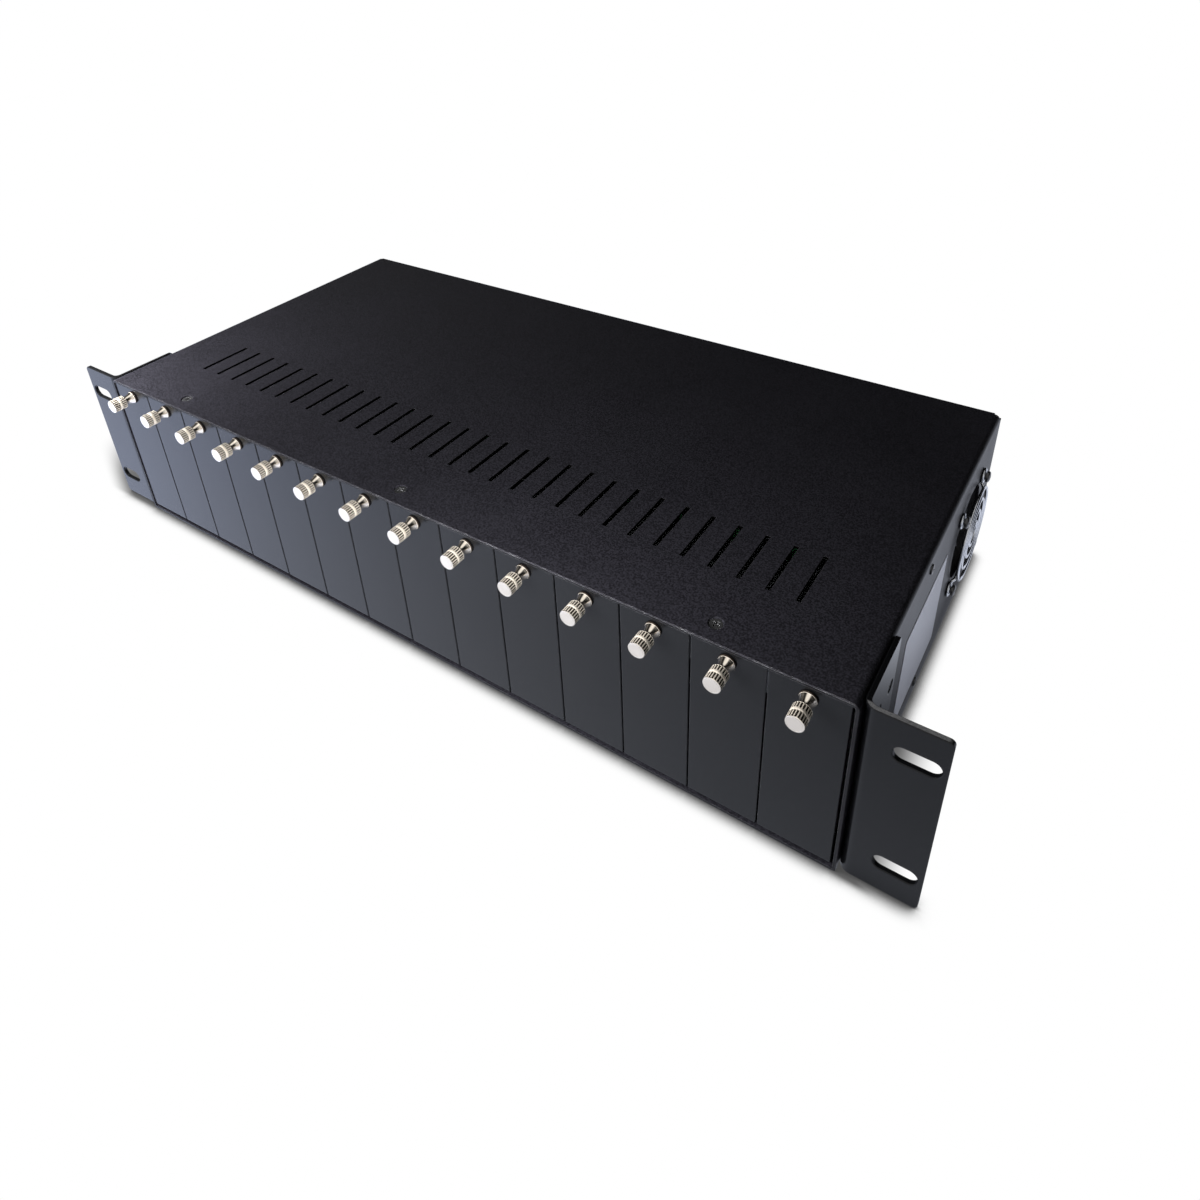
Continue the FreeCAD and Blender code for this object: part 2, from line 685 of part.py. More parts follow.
def make_power_plugs():
    """Barrel plugs that feed the modules, one per slot."""
    plugs = []
    for x in slot_centres():
        front = board_front()
        base_length = front - PLUG_BASE_FRONT
        profile = [
            (PLUG_BASE_RADIUS, 0),
            (PLUG_BASE_RADIUS, base_length),
            (PLUG_BARREL_RADIUS, base_length),
            (PLUG_BARREL_RADIUS, base_length + PLUG_BARREL_LENGTH),
        ]
        plug = turned(profile, Vector(x, front, PLUG_Z), -Y)
        tip = Vector(x, PLUG_BASE_FRONT - PLUG_BARREL_LENGTH, PLUG_Z)
        plugs.append(plug.cut(rod(tip, Y, PLUG_BARREL_LENGTH, PLUG_BORE_RADIUS)))
    return plugs


def make_psu_case():
    """Lower half of the power supply's case: floor and two end walls folded up."""
    wall = PSU_SHEET / 2
    floor = SHEET + wall
    path = [(PSU_X[0] + wall, SHEET + PSU_HEIGHT), (PSU_X[0] + wall, floor), (PSU_X[1] - wall, floor),
            (PSU_X[1] - wall, SHEET + PSU_HEIGHT)]
    inset = PSU_SHEET + BEND
    return bent_sheet(path, PSU_SHEET, BEND, lambda u, v: Vector(u, PSU_Y[0] + inset, v),
                      Y * (PSU_Y[1] - PSU_Y[0] - 2 * inset))


def make_psu_lid():
    """Upper half of the power supply's case: roof and long walls, with vents."""
    wall = PSU_SHEET / 2
    roof = SHEET + PSU_HEIGHT + wall
    near = PSU_Y[0] + wall
    far = PSU_Y[1] - wall
    path = [(near, SHEET), (near, roof), (far, roof), (far, SHEET)]
    lid = bent_sheet(path, PSU_SHEET, BEND, lambda u, v: Vector(PSU_X[0], u, v), X * (PSU_X[1] - PSU_X[0]))
    middle = sum(PSU_X) / 2
    vents = []
    for index in range(PSU_VENT_COUNT):
        x = middle + (index - (PSU_VENT_COUNT - 1) / 2) * PSU_VENT_PITCH
        centre = Vector(x, sum(PSU_Y) / 2, roof - OVERRUN)
        vents.append(obround(centre, Y, Z, PSU_VENT_LENGTH, PSU_VENT_WIDTH, 2 * OVERRUN))
    return lid.cut(vents)


def make_terminal_block():
    """Barrier strip on the power supply's end: stepped section with a wall on each side of a way."""
    low = SHEET
    high = low + TERMINAL_HEIGHT
    step = low + TERMINAL_HEIGHT - TERMINAL_STEP
    middle = (PSU_X[1] + TERMINAL_X) / 2
    outline = [(PSU_X[1], low), (TERMINAL_X, low), (TERMINAL_X, step), (middle, step), (middle, high),
               (PSU_X[1], high)]
    points = [Vector(x, TERMINAL_Y[0], z) for x, z in outline]
    strip = Part.Face(Part.makePolygon(points + [points[0]])).extrude(Y * (TERMINAL_Y[1] - TERMINAL_Y[0]))
    pitch = (TERMINAL_Y[1] - TERMINAL_Y[0] - TERMINAL_WALL) / TERMINAL_WAYS
    starts = [TERMINAL_Y[0] + index * pitch for index in range(TERMINAL_WAYS + 1)]
    walls = [box((middle, TERMINAL_X), (start, start + TERMINAL_WALL), (step, high)) for start in starts]
    return strip.fuse(walls).removeSplitter()


def inlet_screw_seats():
    """Screws at the two ends of the inlet's flange, on its outer face."""
    half = INLET_SCREW_SPACING / 2
    return [Vector(INLET_X + side * half, REAR_REACH, INLET_Z) for side in SIDES]


def make_inlet():
    """Three-pin mains inlet: screwed flange, body through the panel and a keyed socket."""
    seat = Vector(INLET_X, REAR_FACE, INLET_Z)
    flange = rounded_plate(seat, INLET_FLANGE, INLET_FLANGE_ROUND, Y, INLET_FLANGE_SHEET)
    body = rounded_plate(seat - Y * INLET_DEPTH, INLET_BODY, EDGE_ROUND, Y, INLET_DEPTH)
    half_x = INLET_SOCKET[0] / 2
    half_z = INLET_SOCKET[1] / 2
    key = half_x - INLET_CHAMFER
    shoulder = half_z - INLET_CHAMFER
    outline = [(-half_x, -half_z), (half_x, -half_z), (half_x, shoulder),
               (key, half_z), (-key, half_z), (-half_x, shoulder)]
    mouth = REAR_REACH - INLET_SOCKET_DEPTH
    points = [Vector(INLET_X + u, mouth, INLET_Z + v) for u, v in outline]
    socket = Part.Face(Part.makePolygon(points + [points[0]])).extrude(Y * INLET_SOCKET_DEPTH)
    cuts = [socket] + inlet_pin_bars()
    cuts += [sunk_hole(seat, Y, M3, INLET_FLANGE_SHEET) for seat in inlet_screw_seats()]
    return flange.fuse(body).removeSplitter().cut(cuts)


def inlet_pin_bars():
    """The inlet's three flat pins, with tabs for the leads behind the body."""
    start = REAR_FACE - INLET_DEPTH - INLET_TAB_LENGTH
    end = REAR_REACH - INLET_SOCKET_DEPTH + INLET_PIN_LENGTH
    half_x = INLET_PIN[0] / 2
    half_z = INLET_PIN[1] / 2
    spots = ((-INLET_PIN_X, -INLET_PIN_DROP), (0, INLET_PIN_DROP), (INLET_PIN_X, -INLET_PIN_DROP))
    pins = []
    for u, v in spots:
        x = INLET_X + u
        z = INLET_Z + v
        pins.append(box((x - half_x, x + half_x), (start, end), (z - half_z, z + half_z)))
    return pins


def rocker_pivot():
    """Middle of the rocker's axle."""
    return Vector(SWITCH_X, REAR_FACE - ROCKER_PIVOT_DEPTH, SWITCH_Z)


def make_switch_frame():
    """Rocker switch body with its bezel, pocket and axle holes."""
    seat = Vector(SWITCH_X, REAR_FACE, SWITCH_Z)
    bezel = rounded_plate(seat, SWITCH_BEZEL, BEZEL_CORNER, Y, SWITCH_BEZEL_SHEET)
    body = rounded_plate(seat - Y * SWITCH_DEPTH, SWITCH_BODY, EDGE_ROUND, Y, SWITCH_DEPTH)
    frame = bezel.fuse(body).removeSplitter()
    floor = seat + Y * (SWITCH_BEZEL_SHEET - SWITCH_POCKET)
    pocket = rounded_plate(floor, SWITCH_OPENING, EDGE_ROUND, Y, SWITCH_POCKET)
    reach = SWITCH_OPENING[0] / 2 + EDGE_ROUND
    axle = rod(rocker_pivot() - X * reach, X, 2 * reach, ROCKER_AXLE_HOLE)
    return frame.cut([pocket, axle])


def make_rocker():
    """Rocker: a rounded drum sector with two finger flats, resting with its lower end pressed in."""
    pivot = rocker_pivot()
    lift = math.sqrt(ROCKER_RADIUS ** 2 - ROCKER_HALF ** 2)
    left = Vector(0, lift, -ROCKER_HALF)
    right = Vector(0, lift, ROCKER_HALF)
    low_left = Vector(0, -lift, -ROCKER_HALF)
    low_right = Vector(0, -lift, ROCKER_HALF)
    edge_left = Vector(0, 0, -ROCKER_RADIUS)
    edge_right = Vector(0, 0, ROCKER_RADIUS)
    outline = [
        Part.LineSegment(left, Vector(0, lift - ROCKER_DIP, 0)),
        Part.LineSegment(Vector(0, lift - ROCKER_DIP, 0), right),
        Part.Arc(right, edge_right, low_right),
        Part.LineSegment(low_right, Vector(0, -ROCKER_ROOT - lift, 0)),
        Part.LineSegment(Vector(0, -ROCKER_ROOT - lift, 0), low_left),
        Part.Arc(low_left, edge_left, left),
    ]
    face = Part.Face(Part.Wire([edge.toShape() for edge in outline]))
    cap = face.extrude(X * ROCKER_WIDTH)
    cap.translate(X * (-ROCKER_WIDTH / 2))
    axle_half = SWITCH_OPENING[0] / 2 + EDGE_ROUND - SEAT_CLEAR
    cap = cap.fuse(rod(X * -axle_half, X, 2 * axle_half, ROCKER_AXLE_RADIUS)).removeSplitter()
    cap.rotate(Vector(), X, -ROCKER_TILT)
    return cap.translated(pivot)


def make_fan_frame():
    """Square fan housing: bored tunnel between two flanges, hub spider and corner holes."""
    outer = INNER_HALF
    inner = INNER_HALF - FAN_THICK
    middle = Vector(inner, FAN_Y, FAN_Z)
    flanges = [
        rounded_plate(Vector(x, FAN_Y, FAN_Z), (FAN_SIZE, FAN_SIZE), FAN_CORNER, X, FAN_FLANGE)
        for x in (inner, outer - FAN_FLANGE)
    ]
    wall = rod(middle, X, FAN_THICK, FAN_SIZE / 2)
    frame = wall.fuse(flanges).removeSplitter()
    frame = frame.cut(rod(middle, X, FAN_THICK, FAN_BORE_RADIUS))
    half = FAN_STRUT / 2
    reach = FAN_BORE_RADIUS + FAN_FLANGE / 2
    strut = box((inner, inner + FAN_SPIDER_SHEET), (FAN_Y - half, FAN_Y + half),
                (FAN_Z - reach, FAN_Z + reach))
    struts = []
    for angle in DIAGONALS:
        arm = strut.copy()
        arm.rotate(middle, X, angle)
        struts.append(arm)
    seat = rod(middle, X, FAN_SPIDER_SHEET, FAN_SPIDER_RADIUS)
    frame = frame.fuse(struts + [seat]).removeSplitter()
    cuts = [rod(Vector(inner, y, z), X, FAN_THICK, M3 + HOLE_CLEAR) for y, z in fan_hole_spots()]
    cuts.append(rod(middle, X, FAN_SPIDER_SHEET, FAN_BEARING_RADIUS))
    return frame.cut(cuts)


def blade_section(radius, chord, pitch, sweep, start):
    """Thin, cambered blade section on a plane square to the blade's own radius."""
    tilt = math.radians(pitch)
    along = Vector(math.sin(tilt), math.cos(tilt), 0) * (chord / 2)
    skin = Vector(math.cos(tilt), -math.sin(tilt), 0) * BLADE_SHEET
    base = Vector(start, 0, radius)
    curve = [
        Part.Arc(base - along, base + skin, base + along),
        Part.LineSegment(base + along, base + along + skin),
        Part.Arc(base + along + skin, base + skin * 2, base - along + skin),
        Part.LineSegment(base - along + skin, base - along),
    ]
    section = Part.Wire([edge.toShape() for edge in curve])
    section.rotate(Vector(), X, sweep)
    return section


def make_fan_rotor():
    """Fan rotor: turned hub cup on its shaft with swept, twisted blades."""
    inner = INNER_HALF - FAN_THICK
    hub_start = inner + FAN_SPIDER_SHEET + EDGE_ROUND
    profile = [
        (FAN_HUB_RADIUS, 0),
        (FAN_HUB_RADIUS, FAN_HUB_LENGTH - FAN_HUB_CHAMFER),
        (FAN_HUB_RADIUS - FAN_HUB_CHAMFER, FAN_HUB_LENGTH),
    ]
    hub = turned(profile, Vector(hub_start, 0, 0), X)
    shaft = rod(Vector(hub_start - FAN_SHAFT_LENGTH / 2, 0, 0), X, FAN_SHAFT_LENGTH, FAN_SHAFT_RADIUS)
    middle = hub_start + FAN_HUB_LENGTH / 2
    root = blade_section(FAN_HUB_RADIUS - BLADE_SHEET * 2, BLADE_CHORD[0], BLADE_PITCH[0], 0, middle)
    half_way = blade_section((FAN_HUB_RADIUS + BLADE_TIP_RADIUS) / 2, sum(BLADE_CHORD) / 2,
                             sum(BLADE_PITCH) / 2, BLADE_SWEEP / 2, middle)
    tip = blade_section(BLADE_TIP_RADIUS + BLADE_SHEET, BLADE_CHORD[1], BLADE_PITCH[1], BLADE_SWEEP, middle)
    blade = Part.makeLoft([root, half_way, tip], True, False)
    swept = rod(Vector(hub_start, 0, 0), X, FAN_HUB_LENGTH, BLADE_TIP_RADIUS)
    core = rod(Vector(hub_start, 0, 0), X, FAN_HUB_LENGTH, FAN_HUB_RADIUS - BLADE_SHEET)
    blade = blade.common(swept).cut(core)
    blades = []
    for index in range(BLADE_COUNT):
        turn = blade.copy()
        turn.rotate(Vector(), X, index * 360 / BLADE_COUNT)
        blades.append(turn)
    rotor = hub.fuse([shaft] + blades).removeSplitter()
    return rotor.translated(Vector(0, FAN_Y, FAN_Z))


def make_fan_guard():
    """Wire guard: rings on two crossed bars whose ends fold down into eyes under the screws."""
    wall = BODY_WIDTH / 2
    front = wall + GUARD_STAND
    behind = front - GUARD_LAP * WIRE_RADIUS
    foot = wall + WIRE_RADIUS
    eye = FAN_HOLE_SPACING / math.sqrt(2) - GUARD_EYE_RADIUS - WIRE_RADIUS / 2
    shoulder = GUARD_RINGS[-1]
    pieces = []
    for radius in GUARD_RINGS:
        pieces.append(wire_ring(X * front, radius))
    for angle in DIAGONALS:
        route = [Vector(foot, 0, -eye), Vector(behind, 0, -shoulder), Vector(behind, 0, shoulder),
                 Vector(foot, 0, eye)]
        bar = wire_along(route, WIRE_RADIUS, GUARD_BEND, WIRE_SIDES)
        bar.rotate(Vector(), X, angle)
        pieces.append(bar)
    half = FAN_HOLE_SPACING / 2
    for dy, dz in corners(half, half):
        pieces.append(wire_ring(Vector(foot, dy, dz), GUARD_EYE_RADIUS))
    guard = pieces[0].fuse(pieces[1:]).removeSplitter()
    return guard.translated(Vector(0, FAN_Y, FAN_Z))


def make_fan_screws():
    """Long screws through the guard's eyes, the side wall and the fan, with nuts inside."""
    seat = BODY_WIDTH / 2 + 2 * WIRE_RADIUS + SEAT_CLEAR
    length = seat - (INNER_HALF - FAN_THICK) + NUT_LENGTH
    screws = []
    for y, z in fan_hole_spots():
        screw = pan_screw(Vector(seat, y, z), X, M3, length)
        nut_seat = Vector(INNER_HALF - FAN_THICK - NUT_LENGTH, y, z)
        nut = Part.Face(many_sided(nut_seat, X, NUT_RADIUS, NUT_SIDES)).extrude(X * NUT_LENGTH)
        screws.append(screw.fuse(nut).removeSplitter())
    return screws


def terminal_seat(way):
    """Middle of one way of the barrier strip, on the strip's riser."""
    pitch = (TERMINAL_Y[1] - TERMINAL_Y[0] - TERMINAL_WALL) / TERMINAL_WAYS
    middle = (PSU_X[1] + TERMINAL_X) / 2
    return Vector(middle, TERMINAL_Y[0] + (TERMINAL_WALL + pitch) / 2 + way * pitch, LEAD_LOW)


def make_mains_leads():
    """Live by way of the switch, neutral and earth, from the inlet's tabs."""
    tab_y = REAR_FACE - INLET_DEPTH - INLET_TAB_LENGTH
    live = Vector(INLET_X - INLET_PIN_X, tab_y, INLET_Z - INLET_PIN_DROP)
    neutral = Vector(INLET_X, tab_y, INLET_Z + INLET_PIN_DROP)
    earth = Vector(INLET_X + INLET_PIN_X, tab_y, INLET_Z - INLET_PIN_DROP)
    switch_in = Vector(SWITCH_X + SWITCH_TAB, REAR_FACE - SWITCH_DEPTH, live.z)
    switch_out = Vector(SWITCH_X - SWITCH_TAB, REAR_FACE - SWITCH_DEPTH, neutral.z)
    stud = Vector(EARTH_X, REAR_FACE + WASHER_SHEET - 2 * SCREW_LENGTH, EARTH_Z)
    live_end = terminal_seat(TERMINAL_WAYS - 1)
    neutral_end = terminal_seat(TERMINAL_WAYS - 2)
    earth_turn = LEAD_TURN_Y + LEAD_TURN_STEP
    routes = [
        [
            live,
            Vector(live.x, LEAD_TURN_Y, live.z),
            Vector(switch_in.x, LEAD_TURN_Y, live.z),
            switch_in,
        ],
        [
            switch_out,
            Vector(switch_out.x, live_end.y, switch_out.z),
            Vector(switch_out.x, live_end.y, LEAD_LOW),
            live_end,
        ],
        [
            neutral,
            Vector(neutral.x, neutral_end.y, neutral.z),
            Vector(neutral.x, neutral_end.y, LEAD_LOW),
            neutral_end,
        ],
        [
            earth,
            Vector(earth.x, earth_turn, earth.z),
            Vector(stud.x, earth_turn, earth.z),
            Vector(stud.x, earth_turn, stud.z),
            stud,
        ],
    ]
    return [wire_along(route, LEAD_RADIUS, LEAD_BEND, LEAD_SIDES) for route in routes]


def make_feed_leads():
    """Low-voltage pair from the power supply's strip to the power board."""
    board_back = board_front() + BOARD_SHEET
    leads = []
    for way, rise_x in enumerate(FEED_RISE_X):
        start = terminal_seat(way)
        route = [start, Vector(rise_x, start.y, LEAD_LOW), Vector(rise_x, start.y, PLUG_Z),
                 Vector(rise_x, board_back, PLUG_Z)]
        leads.append(wire_along(route, LEAD_RADIUS, LEAD_BEND, LEAD_SIDES))
    return leads


def make_fan_lead():
    """Lead from the fan housing's corner to the power board."""
    board_back = board_front() + BOARD_SHEET
    start = Vector(INNER_HALF - FAN_THICK, FAN_Y + FAN_LEAD_DROP[0], FAN_Z + FAN_LEAD_DROP[1])
    turn_x = start.x - FAN_LEAD_TURN
    route = [start, Vector(turn_x, start.y, start.z), Vector(turn_x, board_back, start.z)]
    return wire_along(route, LEAD_RADIUS, LEAD_BEND, LEAD_SIDES)


def make_rack_ear(side):
    """Folded rack ear: flange along the case's side, face plate with two slotted holes."""
    flange = side * (BODY_WIDTH + EAR_SHEET) / 2
    face = EAR_SETBACK + EAR_SHEET / 2
    bottom = (BODY_HEIGHT - EAR_HEIGHT) / 2
    path = [(flange, EAR_FLANGE_END), (flange, face), (side * EAR_SPAN / 2, face)]
    ear = bent_sheet(path, EAR_SHEET, EAR_BEND, lambda u, v: Vector(u, v, bottom), Z * EAR_HEIGHT)
    level = [edge for edge in ear.Edges if edge.BoundBox.ZLength < EDGE_ROUND]
    outer = [edge for edge in level if abs(edge.BoundBox.Center.x) > EAR_SPAN / 2 - EDGE_ROUND]
    rear = [edge for edge in level if edge.BoundBox.YMin > EAR_FLANGE_END - EDGE_ROUND]
    ear = ear.makeFillet(EAR_CORNER, outer + rear)
    cuts = []
    for step in SIDES:
        centre = Vector(side * EAR_SLOT_X, 0, BODY_HEIGHT / 2 + step * EAR_SLOT_RISE / 2)
        cuts.append(obround(centre, X, Y, EAR_SLOT_LENGTH, EAR_SLOT_WIDTH, 2 * OVERRUN))
    cuts += [sunk_hole(seat, X * side, M3, OVERRUN) for seat in ear_screw_seats(side)]
    ear = ear.cut(cuts)
    fold = BODY_WIDTH / 2 + EAR_SHEET + EAR_BEND + EDGE_ROUND
    rims = [edge for edge in ear.Edges
            if edge.BoundBox.YMax < EAR_SETBACK + FRONT_BREAK and abs(edge.BoundBox.Center.x) > fold]
    return ear.makeChamfer(FRONT_BREAK, rims)


def make_ear_screws():
    """Countersunk screws that hold both ears to the sides."""
    return [
        sunk_screw(seat, X * side, M3, EAR_SCREW_LENGTH)
        for side in SIDES for seat in ear_screw_seats(side)
    ]


def make_sticker():
    """Blank rating sticker on the right side wall."""
    centre = Vector(BODY_WIDTH / 2, sum(STICKER_Y) / 2, sum(STICKER_Z) / 2)
    size = (STICKER_Y[1] - STICKER_Y[0], STICKER_Z[1] - STICKER_Z[0])
    return rounded_plate(centre, size, STICKER_CORNER, X, STICKER_SHEET)


def make_earth_stud():
    """Earthing screw with its washer on the rear panel."""
    place = Vector(EARTH_X, REAR_FACE, EARTH_Z)
    washer = ring(place, Y, WASHER_RADIUS, M4 + THREAD_CLEAR, WASHER_SHEET)
    screw = pan_screw(place + Y * WASHER_SHEET, Y, M4, SCREW_LENGTH * 2)
    return [washer, screw]


def write_node(name, pieces):
    """Move a node's solid or group of solids to the frame's origin and write it out."""
    group = Part.makeCompound(pieces) if isinstance(pieces, list) else pieces
    if not group.isValid():
        raise ValueError(name + " is not a valid shape")
    group.translated(TO_ORIGIN).exportStep("parts/" + name + ".step")
    print(name, len(group.Solids), "solids", round(group.Volume), "mm3")


def main():
    """Build every piece and write one file per node."""
    os.makedirs("parts", exist_ok=True)
    write_node("top_cover", make_top_cover())
    write_node("base_tray", make_base_tray())
    write_node("front_rail", make_front_rail())
    write_node("clinch_nuts", make_clinch_nuts())
    write_node("slot_guide", make_slot_guide())
    write_node("bulkhead", make_bulkhead())
    write_node("power_board", make_power_board())
    write_node("board_spacers", make_board_spacers())
    write_node("power_plugs", make_power_plugs())
    write_node("psu_case", make_psu_case())
    write_node("psu_lid", make_psu_lid())
    write_node("terminal_block", make_terminal_block())
    write_node("ac_inlet", make_inlet())
    write_node("inlet_pins", inlet_pin_bars())
    write_node("inlet_screws", [sunk_screw(seat, Y, M3, SCREW_LENGTH) for seat in inlet_screw_seats()])
    write_node("switch_frame", make_switch_frame())
    write_node("switch_rocker", make_rocker())
    write_node("fan_frame", make_fan_frame())
    write_node("fan_rotor", make_fan_rotor())
    write_node("fan_guard", make_fan_guard())
    write_node("fan_screws", make_fan_screws())
    write_node("mains_leads", make_mains_leads())
    write_node("feed_leads", make_feed_leads())
    write_node("fan_lead", make_fan_lead())
    write_node("rack_ear_left", make_rack_ear(-1))
    write_node("rack_ear_right", make_rack_ear(1))
    write_node("ear_screws", make_ear_screws())
    write_node("top_screws", [sunk_screw(seat, Z, M3, SCREW_LENGTH) for seat in top_screw_seats()])
    write_node("side_screws", [pan_screw(seat, out, M3, SCREW_LENGTH) for seat, out in side_screw_seats()])
    write_node("lip_screws", [pan_screw(seat, Y, M3, SCREW_LENGTH) for seat in lip_screw_seats()])
    write_node("earth_stud", make_earth_stud())
    write_node("side_sticker", make_sticker())
    for number, x in enumerate(slot_centres(), start=1):
        write_node(f"blank_panel_{number:02d}", make_blank_panel(x))
        write_node(f"thumb_screw_{number:02d}", make_thumb_screw(x))
    print("front plane at y =", round(TO_ORIGIN.y, 3))


main()
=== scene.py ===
"""Looks of a rack-mounted media converter chassis: fourteen blank slots, two ears and a side fan."""

import json
import logging
import math
import random
from dataclasses import dataclass
from enum import Enum
from functools import cached_property
from typing import Any, Optional, Sequence, Union

import bmesh
import bpy
from mathutils import Matrix, Vector


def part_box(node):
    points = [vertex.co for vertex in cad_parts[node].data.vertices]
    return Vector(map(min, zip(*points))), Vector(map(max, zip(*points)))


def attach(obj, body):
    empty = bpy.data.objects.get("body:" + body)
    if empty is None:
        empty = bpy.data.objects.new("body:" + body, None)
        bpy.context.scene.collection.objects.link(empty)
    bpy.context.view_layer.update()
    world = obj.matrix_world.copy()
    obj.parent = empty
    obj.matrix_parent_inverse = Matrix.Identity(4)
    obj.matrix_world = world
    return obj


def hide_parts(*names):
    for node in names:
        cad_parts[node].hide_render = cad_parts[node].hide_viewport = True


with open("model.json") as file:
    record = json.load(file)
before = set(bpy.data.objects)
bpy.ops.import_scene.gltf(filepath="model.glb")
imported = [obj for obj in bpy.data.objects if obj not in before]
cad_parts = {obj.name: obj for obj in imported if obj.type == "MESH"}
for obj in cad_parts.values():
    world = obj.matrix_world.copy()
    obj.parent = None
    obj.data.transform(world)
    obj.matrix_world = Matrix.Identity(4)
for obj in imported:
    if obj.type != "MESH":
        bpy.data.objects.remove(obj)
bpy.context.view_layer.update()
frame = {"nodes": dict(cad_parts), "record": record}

LOG = logging.getLogger("chassis")
MM = 0.001
TINY = 1e-6

# The cover's front edge and the top of its roof
FRONT_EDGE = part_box("top_cover")[0].y
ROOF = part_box("top_cover")[1].z

# The radius of every countersunk screw's head
SUNK_HEAD = 2.67 * MM

# The angle from which an edge stays sharp, in degrees
SHARP = 32.0

# How strong the finer layers of a noise are, and how many looks finding an edge takes
NOISE_ROUGHNESS = 0.55
EDGE_LOOKS = 4

# The attribute that marks where a thumb screw is matt or takes painted shade
KNURL = "knurl"
MATT_MARK = 0.5
PAINTED_SHADE_MARK = 1.0

Triple = tuple[float, float, float]
Colour = Triple
Span = tuple[float, float]
Point = tuple[float, float]
Mesh = bmesh.types.BMesh
Socket = bpy.types.NodeSocket
Term = Union["Number", float]

WHITE: Colour = (1.0, 1.0, 1.0)


class Slot(Enum):
    """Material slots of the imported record."""

    COVER = "cover_coat"
    PANEL = "panel_coat"
    EAR = "ear_coat"
    NICKEL = "bright_plating"
    ZINC = "plated_steel"
    SHEET = "plated_sheet"
    SCREW = "black_screws"
    PLASTIC = "black_plastic"
    GLOSS = "gloss_black"
    BOARD = "board_laminate"
    BRASS = "brass_parts"
    LEAD = "lead_sheath"
    STICKER = "sticker_film"


class Facing(Enum):
    """The way that a screw's head points."""

    UP = (0.0, 0.0, 1.0)
    FRONT = (0.0, -1.0, 0.0)
    REAR = (0.0, 1.0, 0.0)
    RIGHT = (1.0, 0.0, 0.0)
    LEFT = (-1.0, 0.0, 0.0)

    def turn(self) -> Matrix:
        """Gives the rotation that takes +Z to this direction."""
        return Vector((0.0, 0.0, 1.0)).rotation_difference(Vector(self.value)).to_matrix().to_4x4()


class Number:
    """A shader value that Python's operators combine by adding Math nodes."""

    def __init__(self, shader: "Shader", socket: Socket) -> None:
        """Wraps an output socket of a shader."""
        self.shader = shader
        self.socket = socket

    def _join(self, operation: str, left: Term, right: Term) -> "Number":
        """Adds one Math node and gives its result."""
        made = self.shader.node("ShaderNodeMath", {"operation": operation}, {0: left, 1: right})
        return Number(self.shader, made.outputs[0])

    def __add__(self, other: Term) -> "Number":
        """Adds."""
        return self._join("ADD", self, other)

    def __radd__(self, other: Term) -> "Number":
        """Adds to a plain number."""
        return self._join("ADD", other, self)

    def __sub__(self, other: Term) -> "Number":
        """Subtracts."""
        return self._join("SUBTRACT", self, other)

    def __rsub__(self, other: Term) -> "Number":
        """Subtracts from a plain number."""
        return self._join("SUBTRACT", other, self)

    def __mul__(self, other: Term) -> "Number":
        """Multiplies."""
        return self._join("MULTIPLY", self, other)

    def __rmul__(self, other: Term) -> "Number":
        """Multiplies a plain number."""
        return self._join("MULTIPLY", other, self)

    def highest(self, other: Term) -> "Number":
        """Gives the larger of two values."""
        return self._join("MAXIMUM", self, other)

    def swing(self, amount: float) -> "Number":
        """Turns noise round 0.5 into a swing round 0."""
        return (self - 0.5) * amount

    def rise(self, low: float, high: float) -> "Number":
        """Goes smoothly from 0 to 1 between two values.

        Args:
            low: The value that gives 0.
            high: The value that gives 1.

        Returns:
            The eased value.
        """
        sockets = {"Value": self, "From Min": low, "From Max": high}
        made = self.shader.node("ShaderNodeMapRange", {"interpolation_type": "SMOOTHSTEP"}, sockets)
        return Number(self.shader, made.outputs["Result"])


